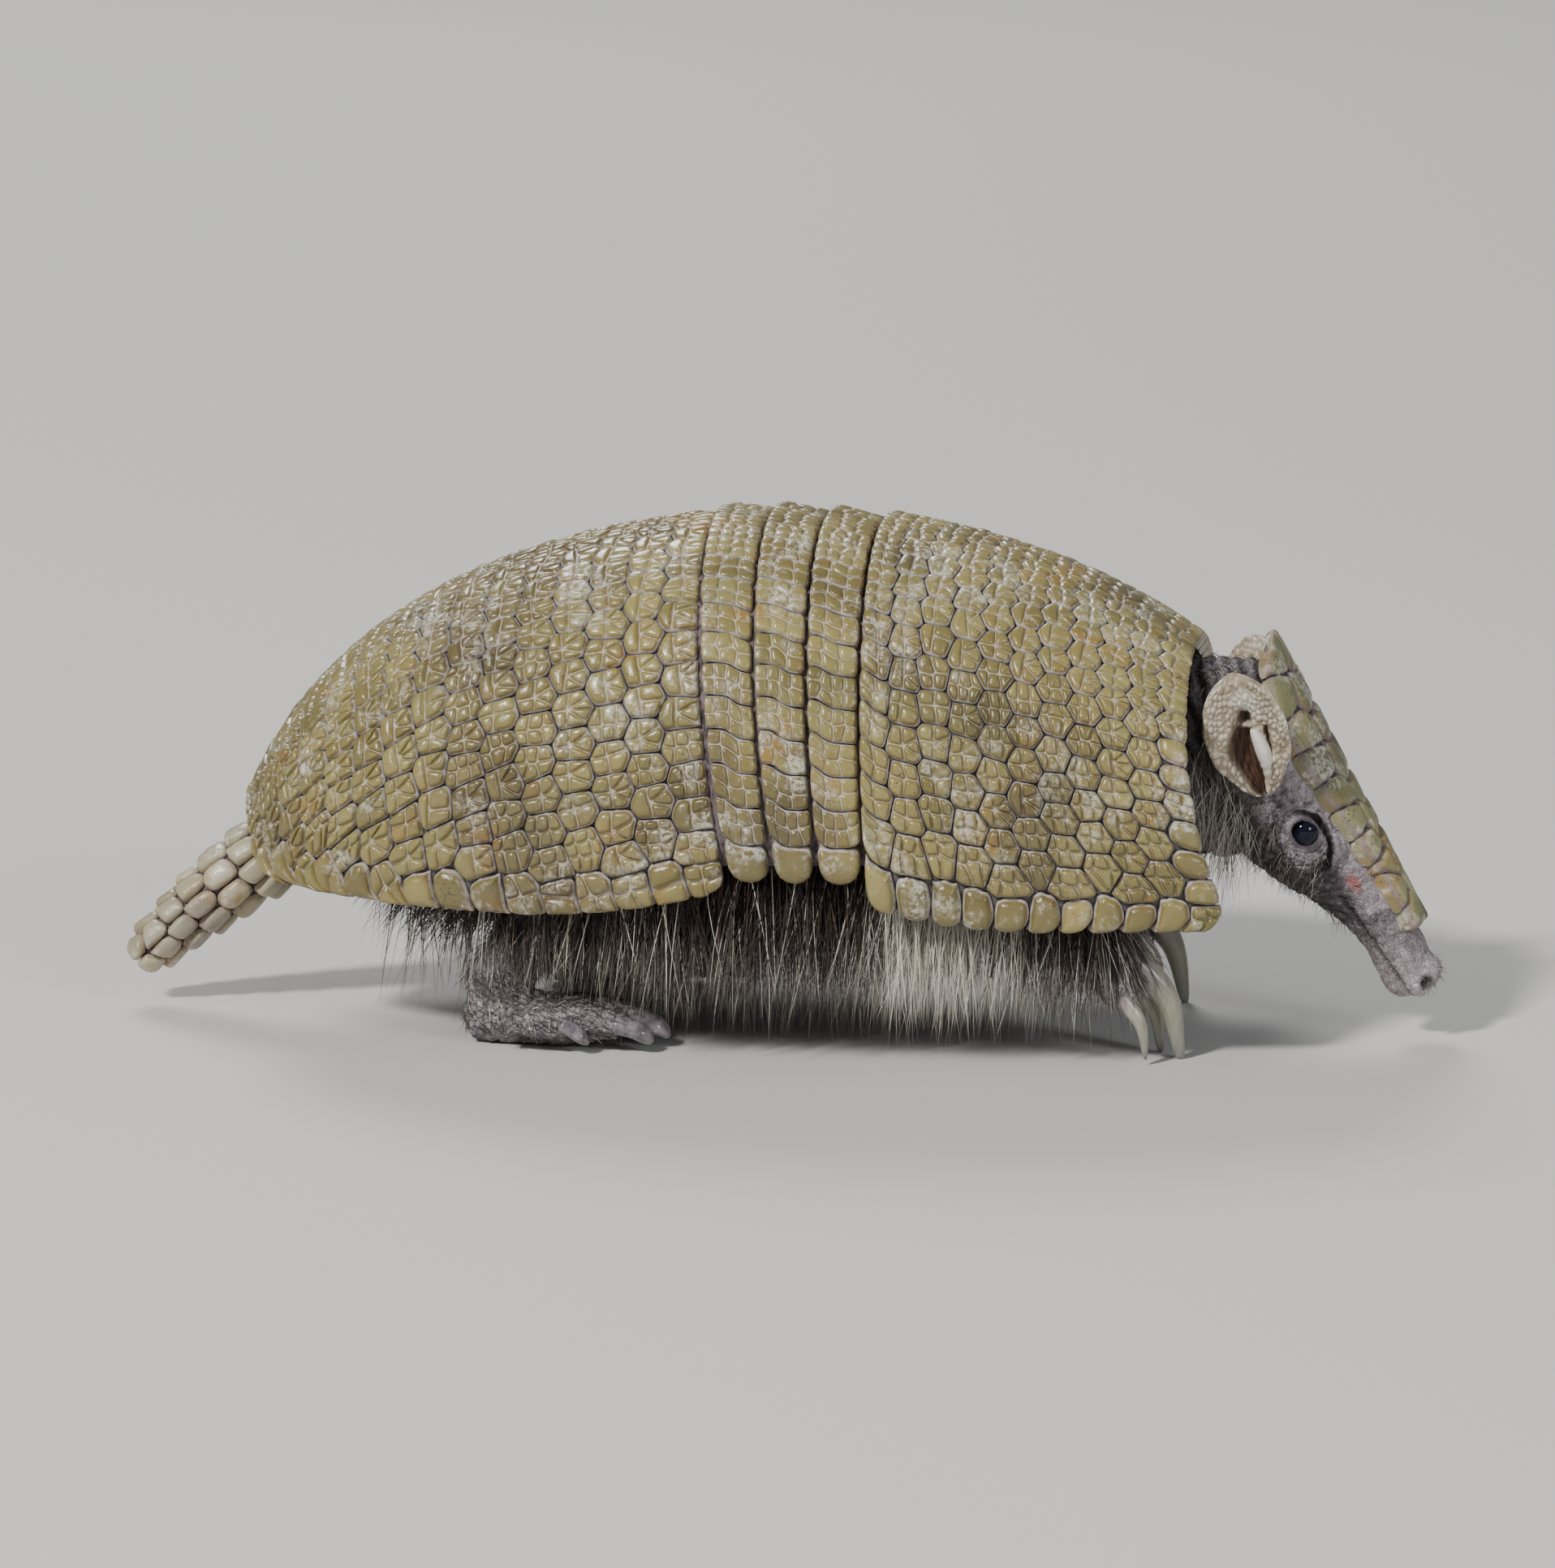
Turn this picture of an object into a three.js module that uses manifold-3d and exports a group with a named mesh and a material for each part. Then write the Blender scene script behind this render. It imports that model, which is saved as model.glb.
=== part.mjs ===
// A southern three-banded armadillo, standing at rest, at life size.
// Millimetres. The head looks along +X, the animal's left side is +Y and +Z is up. The group is moved at the
// end so that the origin is on the floor under the middle of the animal.
import * as THREE from "three";
import { mergeVertices } from "three/addons/utils/BufferGeometryUtils.js";
import Module from "manifold-3d";

const wasm = await Module();
wasm.setup();

// ------------------------------------------------------------------------------------ driving dimensions

const GAP = 0.35; // clearance between two solids that touch

// The shell is one dome cut into two shields and three bands. Its profile, its plan and its cross-section are
// superellipse arcs on either side of a highest and a widest place.
const SHELL_THICKNESS = 3.5;
const BACK = { z: 108, x: -25, front: 113, frontPower: 2, rear: 107, rearPower: 1.7 };
const PLAN = { halfWidth: 53, x: -15, front: 149, frontPower: 2.2, rear: 121, rearPower: 2.4 };
const SECTION_POWER = 2.25;
const WAIST = { z: 50, drop: 10, from: -60, run: 70 }; // the widest line, which sinks towards the tail
const FLAP_TUCK = 0.035; // share of the half width that the free edge turns in below the widest line

// Heights of the shell's free lower edge, and how round it is beside the bands.
const FRONT_EDGE = { z: 29, flatTo: 40, rise: 6, run: 40 };
const REAR_EDGE = { z: 30, from: -70, riseFront: 6, runFront: 45, riseRear: 3, runRear: 58 };
const BAND_EDGE_Z = 38;
const BAND_CORNER = 3;

// Where each plate ends along the body, on the midline of the back and at the lower edge.
const SEAMS_BACK = [1, -10.5, -22, -33.5];
const SEAMS_EDGE = [4, -5.5, -14.5, -24];
const SHIELD_FRONT = { back: 68, corner: 12, cornerPower: 4, round: 8 };
const SHIELD_REAR = { back: -131, corner: 5, round: 7 };
const ROUND_FROM = 0.88; // share of the way down where the shields' corners begin to turn
const SEAM_GAP = 0.6;
const STEP = { front: -1.2, rear: 0.5 }; // each plate rises from its front edge to its rear edge

// The head hangs forward and down from the back of the skull.
const SKULL = { x: 81.5, z: 83, pitch: THREE.MathUtils.degToRad(62) };
// Along the head from the back of the skull: distance, depth under the forehead line, half width.
const HEAD_STATIONS = [
  [6, 23.5, 14],
  [13, 27, 17.5],
  [22, 29, 18.5],
  [34, 26.5, 16.5],
  [45, 21, 11.8],
  [55, 16, 8.4],
  [65, 12.8, 6.8],
  [72, 12, 6.4],
  [77, 10.8, 5.6],
];
const HEAD_SHIELD = { from: -1, to: 67, thickness: 2.4, bedded: 3, backHalfWidth: 15.5, noseHalfWidth: 5.6 };
const HEAD_SHIELD_TAPER = { from: 18, to: 62, roundBack: 16, archShare: 0.33 };
const EYE = { along: 37.5, left: 12, below: 10.3, radius: 3.3 };
const EAR = { along: 27, left: 18.6, below: 13.2, length: 28.5, halfWidth: 8.4, thickness: 2, cup: 4.2 };
const EAR_TURN = { lean: 0.24, flare: 0.3 };

const BELLY = { z: 13, front: 25, frontFrom: 35, frontTo: 62, rear: 30, rearFrom: -85, rearTo: -118 };
const TRUNK = { from: -119, to: 64, inset: SHELL_THICKNESS - STEP.front + GAP + 0.6, power: 2.6 };

const STRIDE = { fore: 5, hind: 7 }; // how far the left feet are moved back and forward of the right ones
const FLOOR_BITE = 1; // claws and soles are drawn this far below the floor, then cut flat

// ------------------------------------------------------------------------------------------- solid tools

const clamp = THREE.MathUtils.clamp;
const mix = THREE.MathUtils.lerp;

// The geometry with no corner shared between triangles.
const loosened = (geometry) => (geometry.index ? geometry.toNonIndexed() : geometry);

// A closed three.js geometry as a solid that can be cut and joined.
function solidOf(geometry) {
  const bare = new THREE.BufferGeometry();
  bare.setAttribute("position", loosened(geometry).getAttribute("position"));
  const merged = mergeVertices(bare, 1e-3);
  const mesh = new wasm.Mesh({
    numProp: 3,
    vertProperties: merged.attributes.position.array,
    triVerts: new Uint32Array(merged.index.array),
  });
  const solid = new wasm.Manifold(mesh);
  return solid.volume() < 0 ? solidOf(turnedOut(geometry)) : solid;
}

// The same geometry with each triangle the other way round.
function turnedOut(geometry) {
  const loose = loosened(geometry).clone();
  const place = loose.getAttribute("position");
  const corner = new THREE.Vector3();
  const other = new THREE.Vector3();
  for (let i = 0; i < place.count; i += 3) {
    corner.fromBufferAttribute(place, i + 1);
    other.fromBufferAttribute(place, i + 2);
    place.setXYZ(i + 1, other.x, other.y, other.z);
    place.setXYZ(i + 2, corner.x, corner.y, corner.z);
  }
  return loose;
}

function geometryOf(solid) {
  const { vertProperties, triVerts } = solid.getMesh();
  const geometry = new THREE.BufferGeometry();
  geometry.setAttribute("position", new THREE.BufferAttribute(vertProperties, 3));
  geometry.setIndex(new THREE.BufferAttribute(triVerts, 1));
  geometry.computeVertexNormals();
  return geometry;
}

// A sphere drawn out into any closed form: place(t, a) gives the point at share t of its length and at
// angle a round it.
function drawnOut(place, rings, sides) {
  const geometry = new THREE.SphereGeometry(1, sides, rings);
  const { position, uv } = geometry.attributes;
  for (let i = 0; i < position.count; i++) {
    const point = place(1 - uv.getY(i), 2 * Math.PI * uv.getX(i));
    position.setXYZ(i, point.x, point.y, point.z);
  }
  return solidOf(geometry);
}

// A flat box bent into a plate: place(u, v, w) takes u from -1 to 1 across it, v from 0 to 1 along it and w
// from 0 on its inner face to 1 on its outer face.
function bentPlate(place, acrossSteps, alongSteps) {
  const geometry = new THREE.BoxGeometry(2, 1, 1, acrossSteps, alongSteps, 1);
  const { position } = geometry.attributes;
  for (let i = 0; i < position.count; i++) {
    const point = place(position.getX(i), position.getY(i) + 0.5, position.getZ(i) + 0.5);
    position.setXYZ(i, point.x, point.y, point.z);
  }
  return solidOf(geometry);
}

const power = (value, exponent) => Math.sign(value) * Math.abs(value) ** exponent;

// A limb: stations are [x, y, z, half width, half depth] along it, and both ends are round.
// grow makes it larger all over, which gives the pocket that it needs in its neighbour.
function limb(stations, { rings = 10, sides = 10, grow = 0, roundness = 1, squareness = 2.2 } = {}) {
  const spine = new THREE.CatmullRomCurve3(stations.map(([x, y, z]) => new THREE.Vector3(x, y, z)));
  const grown = stations.map(([, , , w, d]) => new THREE.Vector3(w + grow, d + grow, 0));
  const sizes = new THREE.CatmullRomCurve3(grown);
  const cap = 2 / rings;
  const place = (t, a) => {
    const share = clamp((t - cap) / (1 - 2 * cap), 0, 1);
    const size = sizes.getPoint(share);
    const along = spine.getTangent(share);
    const side = new THREE.Vector3(0, 1, 0).addScaledVector(along, -along.y).normalize();
    const up = new THREE.Vector3().crossVectors(along, side);
    const fromEnd = t < 0.5 ? t / cap : (1 - t) / cap;
    const turn = (Math.PI / 2) * clamp(fromEnd, 0, 1);
    const capLength = Math.cos(turn) * Math.min(size.x, size.y) * roundness * (t < 0.5 ? -1 : 1);
    return spine
      .getPoint(share)
      .addScaledVector(along, capLength)
      .addScaledVector(side, size.x * Math.sin(turn) * power(Math.cos(a), 2 / squareness))
      .addScaledVector(up, size.y * Math.sin(turn) * power(Math.sin(a), 2 / squareness));
  };
  return drawnOut(place, rings, sides);
}

// The half space under the floor, to cut soles and claw tips flat.
const underFloor = solidOf(new THREE.BoxGeometry(600, 400, 20).translate(0, 0, -10));

const parts = new THREE.Group();

function addPart(name, solid, material) {
  const mesh = new THREE.Mesh(geometryOf(solid), material);
  mesh.name = name;
  parts.add(mesh);
}

const finish = (color, roughness) => new THREE.MeshStandardMaterial({ color, roughness, metalness: 0 });
const finishes = {
  shell: finish(0xa39a63, 0.5),
  headShell: finish(0x8b8762, 0.55),
  tailShell: finish(0xaaa68c, 0.5),
  coat: finish(0x4a4340, 0.85),
  skin: finish(0x8d8287, 0.7),
  ear: finish(0xb3a685, 0.65),
  horn: finish(0x9a9a86, 0.4),
  eye: finish(0x07070c, 0.08),
};

// --------------------------------------------------------------------------------------------- the shell

const arc = (distance, reach, exponent) =>
  Math.max(0, 1 - Math.abs(distance / reach) ** exponent) ** (1 / exponent);

const waistZ = (x) => WAIST.z - WAIST.drop * (Math.max(0, WAIST.from - x) / WAIST.run) ** 2;

function backZ(x) {
  const d = x - BACK.x;
  const rise = d > 0 ? arc(d, BACK.front, BACK.frontPower) : arc(d, BACK.rear, BACK.rearPower);
  return waistZ(x) + (BACK.z - waistZ(x)) * rise;
}

function halfWidth(x) {
  const d = x - PLAN.x;
  return PLAN.halfWidth * (d > 0 ? arc(d, PLAN.front, PLAN.frontPower) : arc(d, PLAN.rear, PLAN.rearPower));
}

// One side of the cross-section at x as points from the midline of the back to the free edge at height edgeZ.
function sectionLine(x, edgeZ) {
  const wide = halfWidth(x);
  const waist = waistZ(x);
  const line = [];
  const archSteps = 24;
  const flapSteps = 6;
  for (let i = 0; i <= archSteps; i++) {
    const a = ((Math.PI / 2) * i) / archSteps;
    const y = wide * Math.sin(a) ** (2 / SECTION_POWER);
    const z = waist + (backZ(x) - waist) * Math.cos(a) ** (2 / SECTION_POWER);
    line.push(new THREE.Vector2(y, z));
  }
  for (let i = 1; i <= flapSteps; i++) {
    const down = i / flapSteps;
    line.push(new THREE.Vector2(wide * (1 - FLAP_TUCK * down ** 2), mix(waist, edgeZ, down)));
  }
  return line;
}

// The point on the shell's surface at x, with across from -1 at the right edge to 1 at the left, by length
// round the arch.
function shellPoint(x, across, edgeZ) {
  const line = sectionLine(x, edgeZ(x));
  const lengths = [0];
  for (let i = 1; i < line.length; i++) lengths.push(lengths[i - 1] + line[i].distanceTo(line[i - 1]));
  const wanted = Math.min(1, Math.abs(across)) * lengths.at(-1);
  const i = clamp(lengths.findIndex((length) => length >= wanted), 1, line.length - 1);
  const point = line[i - 1].clone().lerp(line[i], (wanted - lengths[i - 1]) / (lengths[i] - lengths[i - 1]));
  return new THREE.Vector3(x, Math.sign(across) * point.x, point.y);
}

// The same point moved out along the surface's normal.
function liftedShellPoint(x, across, edgeZ, lift) {
  const step = 0.5;
  const turn = 0.01;
  const level = () => edgeZ(x);
  const middle = clamp(across, turn - 1, 1 - turn);
  const ahead = shellPoint(x + step, middle, level).sub(shellPoint(x - step, middle, level));
  const round = shellPoint(x, middle + turn, level).sub(shellPoint(x, middle - turn, level));
  const normal = new THREE.Vector3().crossVectors(ahead, round).normalize();
  return shellPoint(x, across, edgeZ).addScaledVector(normal, lift);
}

// How far a corner of radius r has risen at distance d from the end of the edge.
const cornerRise = (d, r) => (d >= r ? 0 : r - Math.sqrt(r * r - (r - clamp(d, 0, r)) ** 2));

const seam = (index, across) => mix(SEAMS_BACK[index], SEAMS_EDGE[index], across ** 2);

// How far the lowest part of an end line turns back, so that the shield's corner is round.
function turnBack(across) {
  const intoCorner = Math.max(0, (Math.abs(across) - ROUND_FROM) / (1 - ROUND_FROM));
  return 1 - Math.sqrt(1 - Math.min(1, intoCorner) ** 2);
}

const shieldFront = (across) =>
  SHIELD_FRONT.back +
  SHIELD_FRONT.corner * Math.abs(across) ** SHIELD_FRONT.cornerPower -
  SHIELD_FRONT.round * turnBack(across);
const shieldRear = (across) =>
  SHIELD_REAR.back + SHIELD_REAR.corner * across ** 2 + SHIELD_REAR.round * turnBack(across);

const frontEdgeZ = (x) =>
  FRONT_EDGE.z +
  FRONT_EDGE.rise * (Math.max(0, FRONT_EDGE.flatTo - x) / FRONT_EDGE.run) ** 2 +
  cornerRise(x - SEAMS_EDGE[0], BAND_CORNER);

const rearEdgeZ = (x) =>
  REAR_EDGE.z +
  REAR_EDGE.riseFront * (Math.max(0, x - REAR_EDGE.from) / REAR_EDGE.runFront) ** 2 +
  REAR_EDGE.riseRear * (Math.max(0, REAR_EDGE.from - x) / REAR_EDGE.runRear) ** 2 +
  cornerRise(SEAMS_EDGE.at(-1) - x, BAND_CORNER);

// A plate of the shell between two lines across it, rear and front, with its own lower edge.
function shellPlate(rear, front, edgeZ, alongSteps) {
  const acrossSteps = 22;
  const place = (across, along, out) => {
    const x = mix(rear(across) + SEAM_GAP / 2, front(across) - SEAM_GAP / 2, along);
    const step = mix(STEP.rear, STEP.front, along);
    return liftedShellPoint(x, across, edgeZ, step - SHELL_THICKNESS * (1 - out));
  };
  return bentPlate(place, acrossSteps, alongSteps);
}

addPart("front_shield", shellPlate((u) => seam(0, u), shieldFront, frontEdgeZ, 8), finishes.shell);
for (let band = 1; band <= 3; band++) {
  const bandEdgeZ = (x) =>
    BAND_EDGE_Z +
    cornerRise(x - SEAMS_EDGE[band], BAND_CORNER) +
    cornerRise(SEAMS_EDGE[band - 1] - x, BAND_CORNER);
  const plate = shellPlate((u) => seam(band, u), (u) => seam(band - 1, u), bandEdgeZ, 2);
  addPart(`band_${band}`, plate, finishes.shell);
}
addPart("rear_shield", shellPlate(shieldRear, (u) => seam(3, u), rearEdgeZ, 9), finishes.shell);

// ---------------------------------------------------------------------------------------------- the head

const headAlong = new THREE.Vector3(Math.cos(SKULL.pitch), 0, -Math.sin(SKULL.pitch));
const headUp = new THREE.Vector3(Math.sin(SKULL.pitch), 0, Math.cos(SKULL.pitch));

// A point of the head: along it from the back of the skull, out to the left, and above the forehead line.
const headPoint = (along, left, above) =>
  new THREE.Vector3(SKULL.x, left, SKULL.z).addScaledVector(headAlong, along).addScaledVector(headUp, above);

function headStations(grow) {
  return HEAD_STATIONS.map(([along, depth, wide]) => {
    const middle = headPoint(along, 0, -depth / 2);
    return [middle.x, 0, middle.z, wide + grow, depth / 2 + grow];
  });
}

const head = (grow) => limb(headStations(grow), { rings: 13, sides: 14, roundness: 0.45 });
const headWhole = head(0);
const headPocket = head(GAP);

// The head's plates lie on the forehead, and their back edge stands free over the neck.
function headShield() {
  const { from, to, thickness, bedded, backHalfWidth, noseHalfWidth } = HEAD_SHIELD;
  const taper = HEAD_SHIELD_TAPER;
  const place = (across, along, out) => {
    const s = mix(from, to, along);
    const wide = mix(backHalfWidth, noseHalfWidth, THREE.MathUtils.smoothstep(s, taper.from, taper.to));
    const rounded = wide * Math.sin(Math.acos(clamp(1 - (s - from) / taper.roundBack, 0, 1)) * 0.9 + 0.16);
    const drop = (taper.archShare * (rounded * across) ** 2) / wide;
    return headPoint(s, across * rounded, mix(-bedded, thickness, out) - drop);
  };
  return bentPlate(place, 6, 9).subtract(headPocket).decompose()[0];
}

addPart("head_shield", headShield(), finishes.headShell);

function earPlace(side) {
  const base = headPoint(EAR.along, side * EAR.left, -EAR.below);
  const up = headAlong.clone().negate().addScaledVector(headUp, EAR_TURN.lean);
  up.addScaledVector(new THREE.Vector3(0, side, 0), EAR_TURN.flare).normalize();
  const wide = headUp.clone().addScaledVector(headAlong, EAR_TURN.lean);
  wide.addScaledVector(up, -wide.dot(up)).normalize();
  const out = new THREE.Vector3().crossVectors(up, wide);
  out.multiplyScalar(Math.sign(out.y) * side);
  return (across, along, thick) => {
    const half = EAR.halfWidth * Math.sin(Math.PI * clamp(along, 0.02, 0.985) ** 0.85) ** 0.6;
    const cup = EAR.cup * across ** 2 * (half / EAR.halfWidth);
    return base
      .clone()
      .addScaledVector(up, EAR.length * along)
      .addScaledVector(wide, half * across)
      .addScaledVector(out, cup + EAR.thickness * thick);
  };
}

function eyeBall(side, grow) {
  const middle = headPoint(EYE.along, side * EYE.left, -EYE.below);
  return solidOf(new THREE.SphereGeometry(EYE.radius + grow, 10, 8).translate(middle.x, middle.y, middle.z));
}

// ------------------------------------------------------------------------------------------- flesh parts

const neckStations = [
  [54, 0, 60, 17, 15.5],
  [63, 0, 61, 18.5, 16],
  [73, 0, 63, 18, 16.5],
];
const neckPocket = limb(neckStations, { rings: 8, sides: 14, grow: GAP, roundness: 0.3 });
let neck = limb(neckStations, { rings: 8, sides: 14, roundness: 0.3 }).subtract(headPocket);

const tailStations = [
  [-108, 0, 48, 10, 8.6],
  [-120, 0, 40, 9.6, 8.4],
  [-132, 0, 31, 9, 8],
  [-145, 0, 20.5, 7.3, 6.6],
  [-155, 0, 11.5, 5, 4.6],
];
const tail = (grow) => limb(tailStations, { rings: 11, sides: 12, grow, roundness: 0.9 });

// Legs are drawn for the left side and mirrored by the sign of side. A stride moves the foot, and the leg
// bends after it.
function legStations(stations, side, stride, hipZ) {
  return stations.map(([x, y, z, w, d]) => [x + stride * (1 - clamp(z / hipZ, 0, 1)), side * y, z, w, d]);
}

const FORE_LEG = [
  [45, 26, 66, 12, 15],
  [39, 30, 49, 10, 12],
  [46, 31, 34, 7.5, 8.5],
  [52, 30, 23, 6.8, 6.6],
  [55.5, 28.5, 15.5, 9, 5.2],
];
const HIND_LEG = [
  [-68, 23, 66, 14, 18],
  [-58, 27, 49, 12, 15],
  [-57, 31, 34, 9, 11],
  [-68, 32, 22, 7, 8],
  [-77, 31, 12, 6, 6.6],
];
const HIND_FOOT = [
  [-79, 31, 5.6, 5.2, 6.6],
  [-68, 31.5, 5.4, 6.2, 6.4],
  [-57, 32, 4.8, 8.6, 5.6],
  [-50.5, 32, 3.9, 9.2, 4.6],
];
const SHOULDER_Z = 66;

// Claws by digit, from the inside out: base, bend and tip, then half width and half depth at the base.
const FORE_CLAWS = [
  { base: [54, 20.5, 14], bend: [57, 20, 10], tip: [57.8, 19.6, 4.5], half: [1.6, 1.8] },
  { base: [55, 24.2, 16], bend: [60.2, 23.6, 9], tip: [61.8, 23, -FLOOR_BITE], half: [2.2, 2.7] },
  { base: [53.5, 29.6, 21], bend: [62.8, 29.2, 13], tip: [66.5, 28.6, -FLOOR_BITE], half: [3.5, 4.4] },
  { base: [54, 35.4, 14], bend: [58.5, 36, 8.5], tip: [59.8, 36.2, 1.2], half: [2, 2.3] },
];
const HIND_NAILS = [
  { base: [-60, 22.6, 6], bend: [-57, 22.4, 4.2], tip: [-54.4, 22.3, 2.2], half: [2.3, 1.9] },
  { base: [-49.5, 25.7, 5.6], bend: [-45, 25.6, 4.4], tip: [-41.6, 25.5, 2.2], half: [2.8, 2.4] },
  { base: [-48, 32, 5.8], bend: [-43, 32, 4.6], tip: [-39, 32, 2.2], half: [3, 2.6] },
  { base: [-49.5, 38.3, 5.6], bend: [-45, 38.4, 4.4], tip: [-41.6, 38.5, 2.2], half: [2.8, 2.4] },
  { base: [-60, 41.4, 6], bend: [-57, 41.6, 4.2], tip: [-54.4, 41.7, 2.2], half: [2.3, 1.9] },
];

const CLAW_TIP = 0.24; // a claw's tip as a share of its base
const NAIL_TIP = 0.66;
const BIG_CLAW = 3; // half width from which a claw is drawn with more facets

function claw({ base, bend, tip, half }, side, stride, tipShare, grow) {
  const [w, d] = half;
  const stations = [
    [...base, w, d],
    [...bend, mix(w, w * tipShare, 0.22), mix(d, d * tipShare, 0.3)],
    [...tip, w * tipShare, d * tipShare],
  ];
  const placed = stations.map(([x, y, z, hw, hd]) => [x + stride, side * y, z, hw, hd]);
  const facets = w > BIG_CLAW ? { rings: 9, sides: 8 } : { rings: 5, sides: 6 };
  return limb(placed, { ...facets, grow, roundness: 0.8 }).subtract(underFloor);
}

const sides = { right: -1, left: 1 };
const pockets = [neckPocket, headPocket, tail(GAP)];

for (const [sideName, side] of Object.entries(sides)) {
  const foreStride = side > 0 ? -STRIDE.fore : 0;
  const hindStride = side > 0 ? STRIDE.hind : 0;
  const foreStations = legStations(FORE_LEG, side, foreStride, SHOULDER_Z);
  const hindStations = legStations(HIND_LEG, side, hindStride, SHOULDER_Z);
  const footStations = HIND_FOOT.map(([x, y, z, w, d]) => [x + hindStride * 0.9, side * y, z, w, d]);

  let foreLeg = limb(foreStations);
  FORE_CLAWS.forEach((shape, digit) => {
    const stride = foreStride * 0.82;
    foreLeg = foreLeg.subtract(claw(shape, side, stride, CLAW_TIP, GAP));
    addPart(`fore_claw_${sideName}_${digit + 1}`, claw(shape, side, stride, CLAW_TIP, 0), finishes.horn);
  });
  addPart(`fore_leg_${sideName}`, foreLeg, finishes.skin);

  const foot = limb(footStations, { rings: 8, roundness: 0.7 });
  let hindLeg = limb(hindStations).add(foot).subtract(underFloor);
  HIND_NAILS.forEach((shape, digit) => {
    const stride = hindStride * 0.9;
    hindLeg = hindLeg.subtract(claw(shape, side, stride, NAIL_TIP, GAP));
    addPart(`hind_nail_${sideName}_${digit + 1}`, claw(shape, side, stride, NAIL_TIP, 0), finishes.horn);
  });
  addPart(`hind_leg_${sideName}`, hindLeg, finishes.skin);

  const forePocket = limb(foreStations, { grow: GAP });
  neck = neck.subtract(forePocket);
  pockets.push(forePocket);
  pockets.push(limb(hindStations, { grow: GAP }));
  pockets.push(limb(footStations, { rings: 8, grow: GAP, roundness: 0.7 }));

  const ear = bentPlate(earPlace(side), 6, 7).subtract(headPocket).subtract(neckPocket);
  addPart(`ear_${sideName}`, largest(ear), finishes.ear);
  addPart(`eye_${sideName}`, eyeBall(side, 0), finishes.eye);
}

// The biggest of the bodies that a cut leaves.
function largest(solid) {
  return solid.decompose().reduce((best, body) => (body.volume() > best.volume() ? body : best));
}

addPart("head", headWhole.subtract(eyeBall(-1, GAP)).subtract(eyeBall(1, GAP)), finishes.skin);
addPart("neck", largest(neck), finishes.skin);
addPart("tail", tail(0), finishes.tailShell);

// The trunk fills the shell, and its coat hangs below the shell's edge to the belly line.
function trunkPlace(t, a) {
  const x = mix(TRUNK.from, TRUNK.to, (1 - Math.cos(Math.PI * t)) / 2);
  const middle = (TRUNK.from + TRUNK.to) / 2;
  const end = arc(x - middle, (TRUNK.to - TRUNK.from) / 2, 7);
  const waist = waistZ(x);
  const bellyRise =
    (BELLY.front - BELLY.z) * THREE.MathUtils.smoothstep(x, BELLY.frontFrom, BELLY.frontTo) +
    (BELLY.rear - BELLY.z) * (1 - THREE.MathUtils.smoothstep(x, BELLY.rearTo, BELLY.rearFrom));
  const wide = (halfWidth(x) - TRUNK.inset) * end;
  const upright = Math.cos(a);
  const half =
    upright > 0
      ? power(upright, 2 / SECTION_POWER) * (backZ(x) - waist - TRUNK.inset * 1.25) * end
      : power(upright, 2 / TRUNK.power) * (waist - BELLY.z - bellyRise) * end;
  const sideways = power(Math.sin(a), 2 / (upright > 0 ? SECTION_POWER : TRUNK.power));
  return new THREE.Vector3(x, sideways * wide, waist + half);
}

let trunk = drawnOut(trunkPlace, 14, 18);
for (const pocket of pockets) trunk = trunk.subtract(pocket);
addPart("trunk", largest(trunk), finishes.coat);

// The origin goes to the middle of the bottom of the whole animal.
const box = new THREE.Box3().setFromObject(parts);
parts.position.set(-(box.min.x + box.max.x) / 2, -(box.min.y + box.max.y) / 2, -box.min.z);

export default parts;
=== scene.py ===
import math
import random

import bmesh
import bpy
import numpy as np
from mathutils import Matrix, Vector


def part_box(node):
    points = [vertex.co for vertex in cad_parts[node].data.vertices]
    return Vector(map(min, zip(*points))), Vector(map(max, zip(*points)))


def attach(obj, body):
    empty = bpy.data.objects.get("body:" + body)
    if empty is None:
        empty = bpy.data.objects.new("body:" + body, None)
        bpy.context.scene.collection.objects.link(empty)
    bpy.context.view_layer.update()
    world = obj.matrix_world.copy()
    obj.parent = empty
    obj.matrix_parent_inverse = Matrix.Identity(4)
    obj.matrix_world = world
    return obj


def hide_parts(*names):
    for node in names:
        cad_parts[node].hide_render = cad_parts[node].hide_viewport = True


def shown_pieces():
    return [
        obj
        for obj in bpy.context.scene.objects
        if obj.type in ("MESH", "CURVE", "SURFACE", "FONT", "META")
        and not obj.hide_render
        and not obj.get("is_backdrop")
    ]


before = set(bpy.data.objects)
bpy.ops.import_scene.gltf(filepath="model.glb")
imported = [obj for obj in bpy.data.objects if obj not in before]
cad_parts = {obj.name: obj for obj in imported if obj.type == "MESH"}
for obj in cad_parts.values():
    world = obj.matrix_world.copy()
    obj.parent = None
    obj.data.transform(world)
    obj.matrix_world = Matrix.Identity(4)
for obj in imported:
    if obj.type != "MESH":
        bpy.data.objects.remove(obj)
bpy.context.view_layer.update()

# ------------------------------------------------------------------------------------ floor, light and camera
# A plain pale floor of matt paint, wide enough to have no edge in view. Three soft round lamps stand over it,
# and a long lens looks at the shell's widest line from a little above.

FLOOR_HALF = 60  # metres


def mesh_of(name, bm):
    """The bmesh as a mesh of this name. The bmesh is freed."""
    data = bpy.data.meshes.new(name)
    bm.to_mesh(data)
    bm.free()
    return data


def set_down(name, data):
    """A new object with this data, linked into the scene."""
    thing = bpy.data.objects.new(name, data)
    bpy.context.scene.collection.objects.link(thing)
    return thing


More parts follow.
